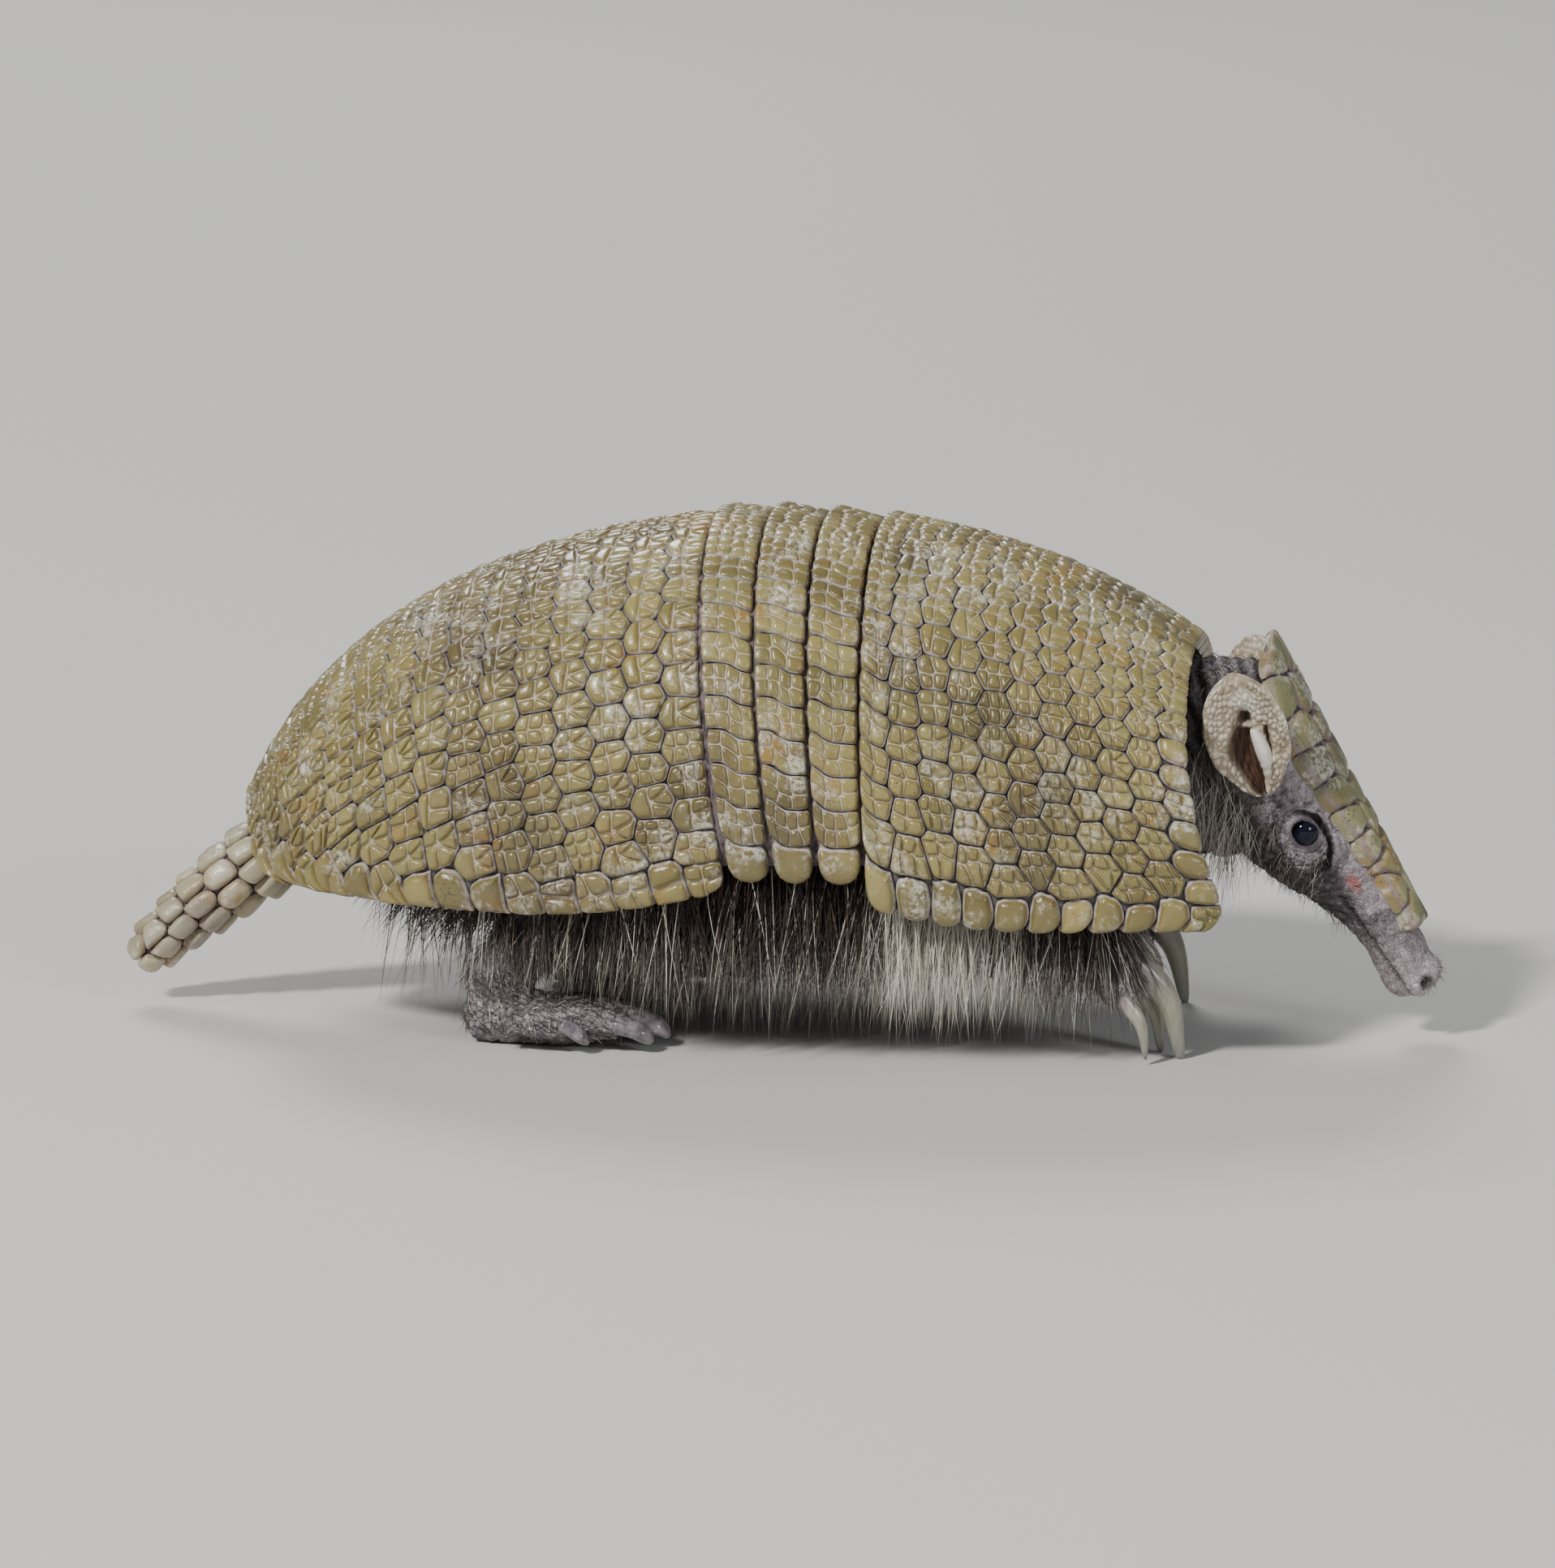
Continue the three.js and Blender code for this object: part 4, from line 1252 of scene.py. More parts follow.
def split_finer(data, wanted):
    """Cuts the faces whose points are all wanted into four."""
    bm = bmesh.new()
    bm.from_mesh(data)
    bm.verts.ensure_lookup_table()
    chosen = [e for e in bm.edges if wanted[e.verts[0].index] and wanted[e.verts[1].index]]
    bmesh.ops.subdivide_edges(bm, edges=chosen, cuts=1, use_grid_fill=True)
    bm.to_mesh(data)
    bm.free()


def thinned(data, hidden, ratio):
    """Fewer faces where the hide lies under the shell."""
    holder = set_down("thinning", data)
    group = holder.vertex_groups.new(name="hidden")
    group.add([int(i) for i in np.flatnonzero(hidden)], 1.0, "REPLACE")
    thinning = holder.modifiers.new("thinning", "DECIMATE")
    thinning.ratio = ratio
    thinning.vertex_group = "hidden"
    return applied(holder)


eased(skin_data, 4)
spots = places_of(skin_data)
under_shell = (spots[:, 2] > 52) & (spots[:, 0] < 58)
skin_data = thinned(skin_data, under_shell, 0.72)
spots = places_of(skin_data)
s, left, above = in_head(spots)
on_neck = (spots[:, 0] > 55) & (spots[:, 0] < 80) & (spots[:, 2] > 50) & (s < 14)
on_head = (s > 12) & (above > -31) & (spots[:, 0] > 66)
split_finer(skin_data, on_head | on_neck)
eased(skin_data, 2, 0.5)
spots = places_of(skin_data)
s, left, above = in_head(spots)
eye_range = np.sqrt((s - EYE_PLACE.x) ** 2 + (above - EYE_PLACE.z) ** 2)
near_eye = (eye_range < 10.5) & (np.abs(left) > 6)
on_foot = (spots[:, 2] < 15) & (s < 0)
split_finer(skin_data, near_eye | (s > 73) | on_foot)


def ring(distance, radius, width):
    """A smooth ridge, 1 high at the radius."""
    return np.exp(-(((distance - radius) / width) ** 2))


# First the big forms: sockets, cheeks, lips and nose, and folds round the neck and the joints of the legs.
spots, normals = places_of(skin_data), read_all(skin_data.vertices, "normal")
s, left, above = in_head(spots)
out = np.abs(left)
head_part = smooth_step(spots[:, 0], 64, 70)
eye_s, eye_above = s - EYE_PLACE.x, above - EYE_PLACE.z
eye_range = np.hypot(eye_s * 0.95, eye_above * 1.06)
orbit = np.hypot((eye_s - 2.2) / 7.4, (eye_above + 1.2) / 5.4)
orbit_top = np.clip(0.25 + 0.5 * (eye_s - 2.2) / 7.4 + 0.9 * (eye_above + 1.2) / 5.4, 0, 1)
beside = (out > 6) & (s > 12) & (s < 62)
push = beside * (-1.5 * np.exp(-((eye_range / 4.6) ** 2)))
push += beside * 0.7 * ring(orbit, 0.74, 0.22)
push += beside * 0.7 * ring(orbit, 1.28, 0.2) * orbit_top
hollow_cheek = np.exp(-(((s - 50) / 6) ** 2 + ((above + 8) / 4.5) ** 2)) * (out > 4)
full_jaw = np.exp(-(((s - 44) / 7) ** 2 + ((above + 17) / 5) ** 2)) * (out > 3)
push += head_part * (0.8 * full_jaw - 1.2 * hollow_cheek)
mouth_above = -7.6 - 0.14 * (78 - s)
push += 0.55 * np.exp(-(((above - mouth_above - 1.6) / 1.3) ** 2)) * smooth_step(s, 50, 60)
push += 1.0 * ring(s, 77.0, 3.2) * smooth_step(above, -8.5, -6) * (s > 66)
push += -0.5 * ring(s, 73.2, 1.5) * smooth_step(above, -6.5, -4.5) * (s > 66)
neck_zone = smooth_step(spots[:, 0], 50, 56) * (1 - smooth_step(s, 10, 22)) * (spots[:, 2] > 36)
neck_run = spots[:, 0] + 0.35 * (spots[:, 2] - 80) + 2.2 * lumps(spots, 6.5, 3) + 0.8 * lumps(spots, 2.5, 4)
neck_fold = 0.5 + 0.5 * np.cos(neck_run * 2 * math.pi / 3.1)
push -= neck_zone * (1.15 * neck_fold**3 - 0.35)
push -= 0.4 * neck_zone * creases(spots, 2.4, 6)
legs_zone = (spots[:, 2] < 46) * (np.abs(spots[:, 1]) > 15) * (1 - head_part)
leg_rings = np.c_[spots[:, 0] * 0.3, spots[:, 1] * 0.3, spots[:, 2]]
push -= 0.6 * creases(leg_rings, 3.6, 5) * legs_zone * smooth_step(spots[:, 2], 7, 12)
spots += normals * push[:, None]
put_places(skin_data, spots)

# Then the fine ones: lids, the creases round the eye, the mouth's line, nostrils and small folds.
spots, normals = places_of(skin_data), read_all(skin_data.vertices, "normal")
wobble = lumps(spots, 2.6, 1) - 0.5
broken = lumps(spots, 1.9, 8)
warped = eye_range + 1.0 * wobble * smooth_step(eye_range, 3.2, 5)
push = beside * 0.65 * ring(eye_range, 2.95, 0.55)
for radius, depth in ((3.75, 0.34), (4.5, 0.42), (5.3, 0.36), (6.3, 0.3)):
    push += beside * -depth * ring(warped, radius, 0.26) * smooth_step(broken, 0.3, 0.5)
push += beside * -1.7 * ring(orbit + 0.12 * wobble, 1.0, 0.07) * orbit_top
push += beside * -0.45 * ring(orbit + 0.12 * wobble, 0.82, 0.05) * (1 - orbit_top)
push += beside * -0.4 * ring(orbit + 0.2 * wobble, 1.3, 0.06) * smooth_step(broken, 0.35, 0.6)
turn = np.arctan2(eye_above, eye_s)
spokes = np.c_[np.cos(turn) * 5.5, np.sin(turn) * 5.5, eye_range * 0.35]
push += beside * -0.24 * creases(spokes, 0.85, 7) * ring(eye_range, 6.0, 3.0) * (eye_range > 3.6)
down = np.c_[(s - 0.5 * above) * 1.0, left * 0.5, (above + 0.5 * s) * 0.35]
cheek_zone = head_part * smooth_step(s, 8, 20) * (1 - smooth_step(s, 60, 70))
cheek_zone = cheek_zone * (eye_range > 6) * smooth_step(-above, 5, 9)
push -= 0.42 * creases(down, 1.9, 9) * cheek_zone
push -= 0.3 * creases(down * 1.7 + 5, 1.7, 11) * cheek_zone
push = np.where(beside & (eye_range < 2.35), -3.2, push)
mouth_line = np.exp(-(((above - mouth_above) / 0.42) ** 2)) * smooth_step(s, 52, 57) * (out > 1.2)
push -= 0.95 * mouth_line
nostril = np.sqrt((s - 77.7) ** 2 + (out - 5.0) ** 2 * 0.5 + (above + 3.5) ** 2)
push += (s > 70) * (0.45 * ring(nostril, 1.9, 0.55) - 2.0 * np.exp(-((nostril / 1.05) ** 2)))
push -= 0.22 * creases(spots, 1.5, 13) * smooth_step(s, 60, 66) * head_part
foot_zone = (1 - smooth_step(spots[:, 2], 9, 20)) * (1 - head_part)
hind_part = spots[:, 0] < -30
for side_name, side in SIDES.items():
    toe_x = spots[:, 0] - HIND_STRIDE[side_name] * HIND_SHARE
    toe_y = spots[:, 1] * side
    for inner, outer in zip(HIND_NAILS, HIND_NAILS[1:]):
        between = (inner[0][1] + outer[0][1]) / 2
        back = min(inner[0][0], outer[0][0]) - 7
        splay = 0.2 * (between - HIND_FOOT_Y) * smooth_step(-toe_x, -back - 8, -back)
        apart = np.abs(toe_y - between - splay)
        gap = np.exp(-((apart / 0.85) ** 2)) * smooth_step(toe_x, back, back + 5) * (spots[:, 2] > 1.5)
        push -= 1.15 * gap * (1 - head_part) * hind_part
    for base, bend, tip, (w, d) in HIND_NAILS:
        knuckle = np.hypot(toe_x - base[0] + 4.5, toe_y - base[1])
        push += 0.7 * np.exp(-((knuckle / 2.2) ** 2)) * (spots[:, 2] > 5) * hind_part
scale_top = grains(spots * np.array([1, 0.7, 1.1]), 1.8, 21)
push += 0.4 * (scale_top - 0.6) * foot_zone
push -= 0.35 * creases(leg_rings, 2.4, 23) * legs_zone
spots += normals * push[:, None]
spots[:, 2] = np.maximum(spots[:, 2], 0.0)
put_places(skin_data, spots)

# What each place of the hide is like: how deep in a fold, which the hide's material paints as shade, how
# pink, how much painted shade it gets under the shell and hair, and how scaly.
fold = np.clip(-push / 0.9 + 0.9 * neck_zone * neck_fold**3, 0, 1)
in_front = spots[:, 0] > 66
snout = smooth_step(s, 54, 76) * in_front
sore_range = ((s - 52.6) / 2.0) ** 2 + ((above + 6.6) / 1.5) ** 2
sore = np.exp(-sore_range * (0.5 + 1.2 * lumps(spots, 1.3, 4))) * (left < -2)
brow = smooth_step(orbit, 1.0, 1.15) * smooth_step(above, EYE_PLACE.z + 0.5, EYE_PLACE.z + 4) * (s > 22)
behind = smooth_step(orbit, 1.0, 1.2) * (s > 16) * (s < EYE_PLACE.x + 1) * smooth_step(above, -21, -15)
lids = beside * (1 - smooth_step(orbit, 0.75, 0.95)) * smooth_step(eye_range, 2.9, 3.6)
pale_zone = np.clip(0.9 * brow + 0.6 * behind + 0.75 * lids, 0, 0.8) * (s < 60) * in_front
pale_zone = pale_zone * (0.5 + 0.7 * lumps(spots, 4, 15))
pink = np.clip(0.75 * snout + 0.8 * ring(s, 79.5, 3) * in_front + pale_zone, 0, 1)
# Painted shade: a dark ring at the lids' rim and the cracks between the foot's scales are added to the folds.
lid_shade = beside * ring(eye_range, 2.6, 0.7)
fold = np.clip(fold * (1 - foot_zone) + 0.5 * lid_shade + 0.6 * (1 - scale_top) * foot_zone, 0, 1)
# The trunk behind the shoulders gets painted shade, for the shade under the shell and its hair; the feet are
# left out.
trunk_dark = smooth_step(-spots[:, 0], -62, -52)
foot = (1 - smooth_step(spots[:, 2], 9, 26)) * trunk_dark
tone = skin_data.attributes.new("skin_map", "FLOAT_COLOR", "POINT")
tone.data.foreach_set("color", np.c_[fold, pink, np.clip(trunk_dark * (1 - foot), 0, 1), foot].ravel())
tone = skin_data.attributes.new("skin_sore", "FLOAT", "POINT")
tone.data.foreach_set("value", sore)
skin_data.polygons.foreach_set("use_smooth", [True] * len(skin_data.polygons))
put_places(skin_data, in_frame(spots))
skin = set_down("skin", skin_data)
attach(skin, "root")
flesh_nodes = ["trunk", "neck", "head", "fore_leg_right", "fore_leg_left", "hind_leg_right", "hind_leg_left"]
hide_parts(*flesh_nodes)

# Slate grey and pitted, pinker and pebbled on the snout, darkened with painted shade on the trunk under the
# shell and hair, and pale on the feet.
hide, tree, shader, place = bare_material("hide", 0.62)
skin_map = point_map(tree, "skin_map")
fold_shade, pinkness, under_hair_shade = channels(tree, skin_map["Color"])
foot_mask = skin_map["Alpha"]
wide, middling = noise(tree, place, 45, 4), noise(tree, place, 260, 4, 0.62)
fine = noise(tree, place, 1500, 3, 0.6)
bumps = cells(tree, place, 820.0)
bump_tone = channels(tree, bumps["Color"])[0]
bump_top = ramp(tree, bumps["Distance"], (0.15, 1.0), (0.75, 0.0))
colour = mixed(tree, ramp(tree, wide, (0.36, 0.0), (0.64, 1.0)), (0.05, 0.042, 0.046), (0.15, 0.127, 0.134))
mottled = product(tree, ramp(tree, bump_tone, (0.55, 0.0), (0.95, 1.0)), bump_top)
mottled = product(tree, mottled, ramp(tree, middling, (0.42, 0.15), (0.6, 0.9)))
colour = mixed(tree, mottled, colour, (0.42, 0.36, 0.37))
nose = mixed(tree, bump_tone, (0.3, 0.25, 0.275), (0.52, 0.455, 0.48))
nose = mixed(tree, ramp(tree, middling, (0.46, 0.0), (0.6, 0.35)), nose, (0.14, 0.11, 0.13))
colour = mixed(tree, pinkness, colour, nose)
# Painted shade on the trunk, under the shell and its hair.
colour = mixed(tree, product(tree, under_hair_shade, 0.75), colour, (0.035, 0.028, 0.03))
scales = cells(tree, stretched(tree, place, (1, 0.62, 1.15)), 760.0, "DISTANCE_TO_EDGE")
scale_edge = ramp(tree, scales["Distance"], (0.0, 0.45), (0.2, 1.0))
feet = mixed(tree, ramp(tree, middling, (0.4, 0.0), (0.62, 1.0)), (0.3, 0.26, 0.275), (0.6, 0.545, 0.565))
# Painted shade: the feet are darker along the edges of their scales, in the cracks between them.
feet = mixed(tree, scale_edge, mixed(tree, 1.0, feet, (0.34, 0.3, 0.31), "MULTIPLY"), feet)
colour = mixed(tree, foot_mask, colour, feet)
pits = ramp(tree, fine, (0.36, 0.6), (0.46, 0.0))
pits = product(tree, pits, ramp(tree, pinkness, (0.3, 1.0), (1.0, 0.45)))
colour = mixed(tree, pits, colour, (0.045, 0.034, 0.04))
# Painted shade: near black deep in folds, sockets, nostrils and the mouth's line, round the lids and between
# the foot's scales.
colour = mixed(tree, product(tree, fold_shade, 0.85), colour, (0.018, 0.013, 0.016))
sore_tone = mixed(tree, bump_tone, (0.13, 0.028, 0.026), (0.31, 0.1, 0.088))
sore_share = ramp(tree, point_map(tree, "skin_sore")["Fac"], (0.1, 0.0), (0.75, 0.95))
colour = mixed(tree, sore_share, colour, sore_tone)
tree.links.new(colour, shader.inputs["Base Color"])
wrinkles = cells(tree, place, 1300.0, "DISTANCE_TO_EDGE")
crease = ramp(tree, wrinkles["Distance"], (0.0, 0.0), (0.2, 1.0))
height = maths(tree, "MULTIPLY_ADD", crease, 0.4, maths(tree, "MULTIPLY_ADD", bump_top, 0.5, middling))
height = maths(tree, "MULTIPLY_ADD", product(tree, foot_mask, scale_edge), 1.6, height)
bumped(tree, shader, height, 0.0004, 0.9)
tree.links.new(ramp(tree, pinkness, (0.2, 0.6), (1.0, 0.38)), shader.inputs["Roughness"])
shader.inputs["Specular IOR Level"].default_value = 0.45
skin.data.materials.clear()
skin.data.materials.append(hide)

# ---------------------------------------------------------------------------------------------------- eyes
# Glossy balls of dark glass, nearly black with a little blue, as a museum's eyes are. They are set into the
# sockets, and the lids close round them.

EYE_RADIUS = 3.25
eye_finish, tree, shader, place = bare_material("eye_gloss", 0.04)
blue_black = mixed(tree, noise(tree, place, 300), (0.003, 0.003, 0.008), (0.008, 0.008, 0.022))
tree.links.new(blue_black, shader.inputs["Base Color"])
shader.inputs["Specular IOR Level"].default_value = 0.28
for side_name, side in SIDES.items():
    ball = bmesh.new()
    bmesh.ops.create_uvsphere(ball, u_segments=40, v_segments=24, radius=EYE_RADIUS * MM)
    middle = (head_point(EYE_PLACE.x, side * EYE_PLACE.y, EYE_PLACE.z) + ORIGIN) * MM
    bmesh.ops.translate(ball, verts=ball.verts, vec=middle)
    eye = finished_piece(f"eyeball_{side_name}", ball, 0)
    eye.data.materials.append(eye_finish)
    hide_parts(f"eye_{side_name}")

# ---------------------------------------------------------------------------------------------------- ears
# Thick leathery cups, pebbled outside and on the rim, brown and bare in the hollow, with a pale fold before
# it and a pale painted highlight high on the front. Each is a closed tube of rows from its foot to its tip,
# shaped by how far up and across a point is.

EAR_LENGTH, EAR_HALF_WIDTH = 28.3, 8.7
EAR_ROWS, EAR_COLUMNS = 104, 116
FOLD_ROWS, FOLD_COLUMNS = 46, 24


def tube_of(bm, spots, columns, layer, tones):
    """Adds rows of points with their tones, in millimetres, joined into a closed tube."""
    verts = [bm.verts.new(p) for p in in_frame(spots)]
    for v, t in zip(verts, tones):
        v[layer] = t
    close_tube(bm, [verts[k : k + columns] for k in range(0, len(verts), columns)])


def ear_axes(side):
    """The ear's foot, and its directions up, across and out of the hollow."""
    base = head_point(27, side * 18.6, -13.2)
    up = (-HEAD_ALONG + HEAD_UP * 0.24 + Vector((0, side, 0)) * 0.3).normalized()
    wide = HEAD_UP + HEAD_ALONG * 0.24
    wide = (wide - up * wide.dot(up)).normalized()
    out = up.cross(wide)
    return np.array(base), np.array(up), np.array(wide), np.array(out * (1 if out.y * side > 0 else -1))


ear_finish, tree, shader, place = bare_material("ear_hide", 0.55)
in_hollow, pebble, paleness_and_highlight = channels(tree, point_map(tree, "ear_map")["Color"])
middling, fine = noise(tree, place, 200, 4), noise(tree, place, 1600, 3)
colour = mixed(tree, ramp(tree, middling, (0.38, 0.0), (0.6, 1.0)), (0.34, 0.275, 0.19), (0.62, 0.56, 0.44))
colour = mixed(tree, ramp(tree, pebble, (0.0, 0.75), (0.5, 0.0)), colour, (0.16, 0.115, 0.075))
streak = noise(tree, stretched(tree, place, (1.5, 1.5, 0.22)), 900, 3)
brown = mixed(tree, ramp(tree, streak, (0.38, 0.0), (0.66, 1.0)), (0.018, 0.008, 0.005), (0.12, 0.06, 0.032))
colour = mixed(tree, in_hollow, colour, brown)
# Pale on the fold before the hollow, and pale as a painted highlight high on the front.
colour = mixed(tree, paleness_and_highlight, colour, (0.7, 0.67, 0.62))
tree.links.new(colour, shader.inputs["Base Color"])
bumped(tree, shader, maths(tree, "MULTIPLY_ADD", fine, 0.3, middling), 0.0003, 0.7)

for side_name, side in SIDES.items():
    base, up, wide, out = ear_axes(side)
    steps = EAR_COLUMNS // 2
    face_u = np.linspace(-1, 1, steps)
    v, u = np.meshgrid(np.linspace(0.0, 1.0, EAR_ROWS), np.r_[face_u, face_u[::-1]], indexing="ij")
    v, u = v.ravel(), u.ravel()
    front = np.arange(EAR_ROWS * EAR_COLUMNS) % EAR_COLUMNS < steps
    half = EAR_HALF_WIDTH * np.clip(1 - np.abs(2 * np.clip(v, 0.004, 0.996) ** 1.1 - 1) ** 2.3, 0, 1) ** 0.52
    half *= 1 - 0.24 * (1 - smooth_step(v, 0.0, 0.5)) + 0.015 * np.sin(v * 23)
    edge = np.sqrt(np.clip(1 - np.abs(u) ** 7, 0, 1)) * np.clip(np.minimum(v, 1 - v) / 0.05, 0, 1) ** 0.5

    # Between the pebbled front lobe and back rim lies a hollow that closes upward and opens below.
    low_side = -0.56 + 0.5 * smooth_step(v, 0.4, 0.74)
    high_side = 0.2 + 0.05 * np.sin(v * 9)
    hollow = smooth_step(u, low_side - 0.12, low_side + 0.1)
    hollow *= 1 - smooth_step(u, high_side - 0.06, high_side + 0.06)
    hollow *= 1 - smooth_step(v + 0.25 * (u + 0.1) ** 2, 0.68, 0.77)
    hollow *= 1 - 0.8 * ring(v + 0.05 * u, 0.6, 0.03) * smooth_step(u, -0.35, 0.1)
    slot = ring(u, 0.46, 0.05) * smooth_step(v, 0.34, 0.39) * (1 - smooth_step(v, 0.55, 0.6))
    back = -1.6 + 4.2 * u**2 * (half / 8.4)
    rims = 2.6 + 0.5 * np.cos(u * 3.1) + 0.4 * np.sin(v * 5 + u * 3)
    rims += 0.9 * np.exp(-(((u - 0.2) / 0.4) ** 2 + ((v - 0.82) / 0.1) ** 2))
    thick = np.where(front, rims - hollow * (rims - 0.5) - slot * 1.9, 0) * edge
    sheet = base + np.outer(EAR_LENGTH * v, up) + np.outer(u * half, wide)
    spots = sheet + np.outer(back + thick, out)
    lower_back = smooth_step(-u, 0.2, 0.6) * (1 - smooth_step(v, 0.35, 0.6))
    flatter = spots * np.array([1, 0.8, 0.7])
    bead = grains(spots, 1.75, 2) * lower_back + grains(flatter, 1.0, 6) * (1 - lower_back)
    ridges = 0.22 * np.sin(u * 42 + 2.5 * np.sin(v * 7)) * hollow
    pebbles = (0.5 + 0.25 * lower_back) * (bead - 0.5) * (1 - hollow) * edge
    spots = sheet + np.outer(back + thick + np.where(front, 1, -1) * pebbles + ridges * front, out)
    ear_bm = bmesh.new()
    layer = ear_bm.verts.layers.float_color.new("ear_map")
    inside = np.clip(hollow * front + slot * front, 0, 1)
    # A painted highlight: a pale patch high on the front of the ear, over the swelling of its rim.
    painted_highlight = np.exp(-(((u - 0.25) / 0.35) ** 2 + ((v - 0.8) / 0.1) ** 2)) * front * 0.6
    tube_of(ear_bm, spots, EAR_COLUMNS, layer, np.c_[inside, bead, painted_highlight * (1 - inside), np.ones_like(v)])

    # The pale fold stands at the front of the hollow, notched along its edge, and tapers into the lobe below.
    turns = np.linspace(0, 2 * math.pi, FOLD_COLUMNS, endpoint=False)
    v, turn = np.meshgrid(np.linspace(0, 1, FOLD_ROWS), turns, indexing="ij")
    v, turn = v.ravel(), turn.ravel()
    swell = np.sin(math.pi * np.clip(v * 0.95 + 0.02, 0, 1)) ** 0.4 * (0.55 + 0.55 * smooth_step(v, 0.2, 0.7))
    notches = 0.17 * np.sin(v * 25 + 1.3) * (np.cos(turn) > -0.2) + 0.08 * np.sin(v * 47)
    nicks = 1 + notches * (1 - smooth_step(v, 0.4, 0.58))
    middle = np.outer(1.8 + 14.4 * v, up) + np.outer(0.9 + 0.6 * v + 1.1 * np.sin(math.pi * v), wide)
    middle += np.outer(1.5 - 0.2 * v, out)
    spots = base + middle
    spots += np.outer(1.5 * np.cos(turn) * swell * nicks, wide)
    spots += np.outer(1.9 * np.sin(turn) * swell * nicks, out)
    tones = np.c_[0 * v, 0.5 + 0.5 * nicks.clip(0, 1), 0.9 * smooth_step(v, 0.2, 0.5), np.ones_like(v)]
    tube_of(ear_bm, spots, FOLD_COLUMNS, layer, tones)
    bmesh.ops.recalc_face_normals(ear_bm, faces=ear_bm.faces)
    ear = finished_piece(f"ear_cup_{side_name}", ear_bm, 0)
    ear.data.materials.append(ear_finish)
    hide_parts(f"ear_{side_name}")

# ----------------------------------------------------------------------------------------- claws and nails
# Solid horn, four long claws on each front foot and five broad nails on each hind one. Each is drawn along a
# curve from its sheath to its tip, flatter below than above.

# The long front claws are streaked, pink at the sheath, then tan and grey.
claw_finish, tree, shader, place = bare_material("claw_horn", 0.26)
share = point_map(tree, "claw_map")["Fac"]
streaks = noise(tree, stretched(tree, place, (1.6, 1.6, 0.35)), 520, 4, 0.6)
pink_end, tan, olive, grey_tip = (0.26, 0.2, 0.21), (0.4, 0.35, 0.31), (0.31, 0.3, 0.22), (0.22, 0.23, 0.22)
colour = ramp(tree, share, (0.0, pink_end), (0.3, tan), (0.62, olive), (1.0, grey_tip))
colour = mixed(tree, ramp(tree, streaks, (0.46, 0.0), (0.68, 0.55)), colour, (0.15, 0.125, 0.1))
tree.links.new(colour, shader.inputs["Base Color"])
tree.links.new(maths(tree, "MULTIPLY_ADD", streaks, 0.3, 0.12), shader.inputs["Roughness"])
bumped(tree, shader, streaks, 0.00012, 0.6)
shader.inputs["Coat Weight"].default_value = 0.25
shader.inputs["Coat Roughness"].default_value = 0.15

# The broad hind nails are dark and glossy.
hoof_finish, tree, shader, place = bare_material("hoof_horn", 0.24)
streaks = noise(tree, place, 420, 4, 0.6)
colour = mixed(tree, ramp(tree, streaks, (0.35, 0.0), (0.7, 1.0)), (0.09, 0.075, 0.085), (0.31, 0.27, 0.29))
tree.links.new(colour, shader.inputs["Base Color"])
bumped(tree, shader, streaks, 0.00015, 0.6)
shader.inputs["Coat Weight"].default_value = 0.6
shader.inputs["Coat Roughness"].default_value = 0.1

CLAW_TIP, NAIL_TIP = 0.24, 0.82  # how thick each is near its tip, against its base


def claw_piece(node, base, bend, tip, half, pointed, side, stride):
    """One claw or nail over its CAD node, thickest at its base and ending on the floor."""
    rings, columns = (30, 26) if half[0] > 3 else (16, 18)
    points = [Vector((x + stride, side * y, z)) for x, y, z in (base, bend, tip)]
    shares = np.linspace(0, 1, rings)
    line = curve_through(points, shares)
    ahead, across, up = axes_along(line)
    up *= np.sign(up[0, 2]) or 1
    if pointed:
        size = 1 + (CLAW_TIP - 1) * shares**1.25
        size *= np.sqrt(np.clip((1.03 - shares) / 0.12, 0.05, 1))
    else:
        size = 1 + (NAIL_TIP - 1) * shares**1.6
        size *= np.clip((1.02 - shares) / 0.34, 0.03, 1) ** 0.42
    angle = np.linspace(0, 2 * math.pi, columns, endpoint=False)
    flatter = np.where(np.sin(angle) > 0, 1, 0.72)
    wide = np.outer(size * half[0], signed_power(np.cos(angle), 0.92))
    deep = np.outer(size * half[1], np.sin(angle) * flatter)
    spots = (line[:, None] + wide[..., None] * across[:, None] + deep[..., None] * up[:, None]).reshape(-1, 3)
    spots[:, 2] = np.maximum(spots[:, 2], 0.0)
    shade = np.repeat(shares, columns)
    bm = bmesh.new()
    layer = bm.verts.layers.float_color.new("claw_map")
    tube_of(bm, spots, columns, layer, np.c_[shade, shade, shade, np.ones_like(shade)])
    bmesh.ops.recalc_face_normals(bm, faces=bm.faces)
    piece = finished_piece(node + "_horn", bm, 0)
    piece.data.materials.append(claw_finish if pointed else hoof_finish)
    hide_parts(node)


for side_name, side in SIDES.items():
    for digit, claw in enumerate(FORE_CLAWS, 1):
        claw_piece(f"fore_claw_{side_name}_{digit}", *claw, True, side, FORE_STRIDE[side_name] * FORE_SHARE)
    for digit, nail in enumerate(HIND_NAILS, 1):
        claw_piece(f"hind_nail_{side_name}_{digit}", *nail, False, side, HIND_STRIDE[side_name] * HIND_SHARE)

# ---------------------------------------------------------------------------------------------------- tail
# A short bony cone wrapped in rings of knobby scutes, each ring shifted by half a scute from the last. They
# are laid out flat, past the seam on both sides, then wrapped round the cone and over its tip.

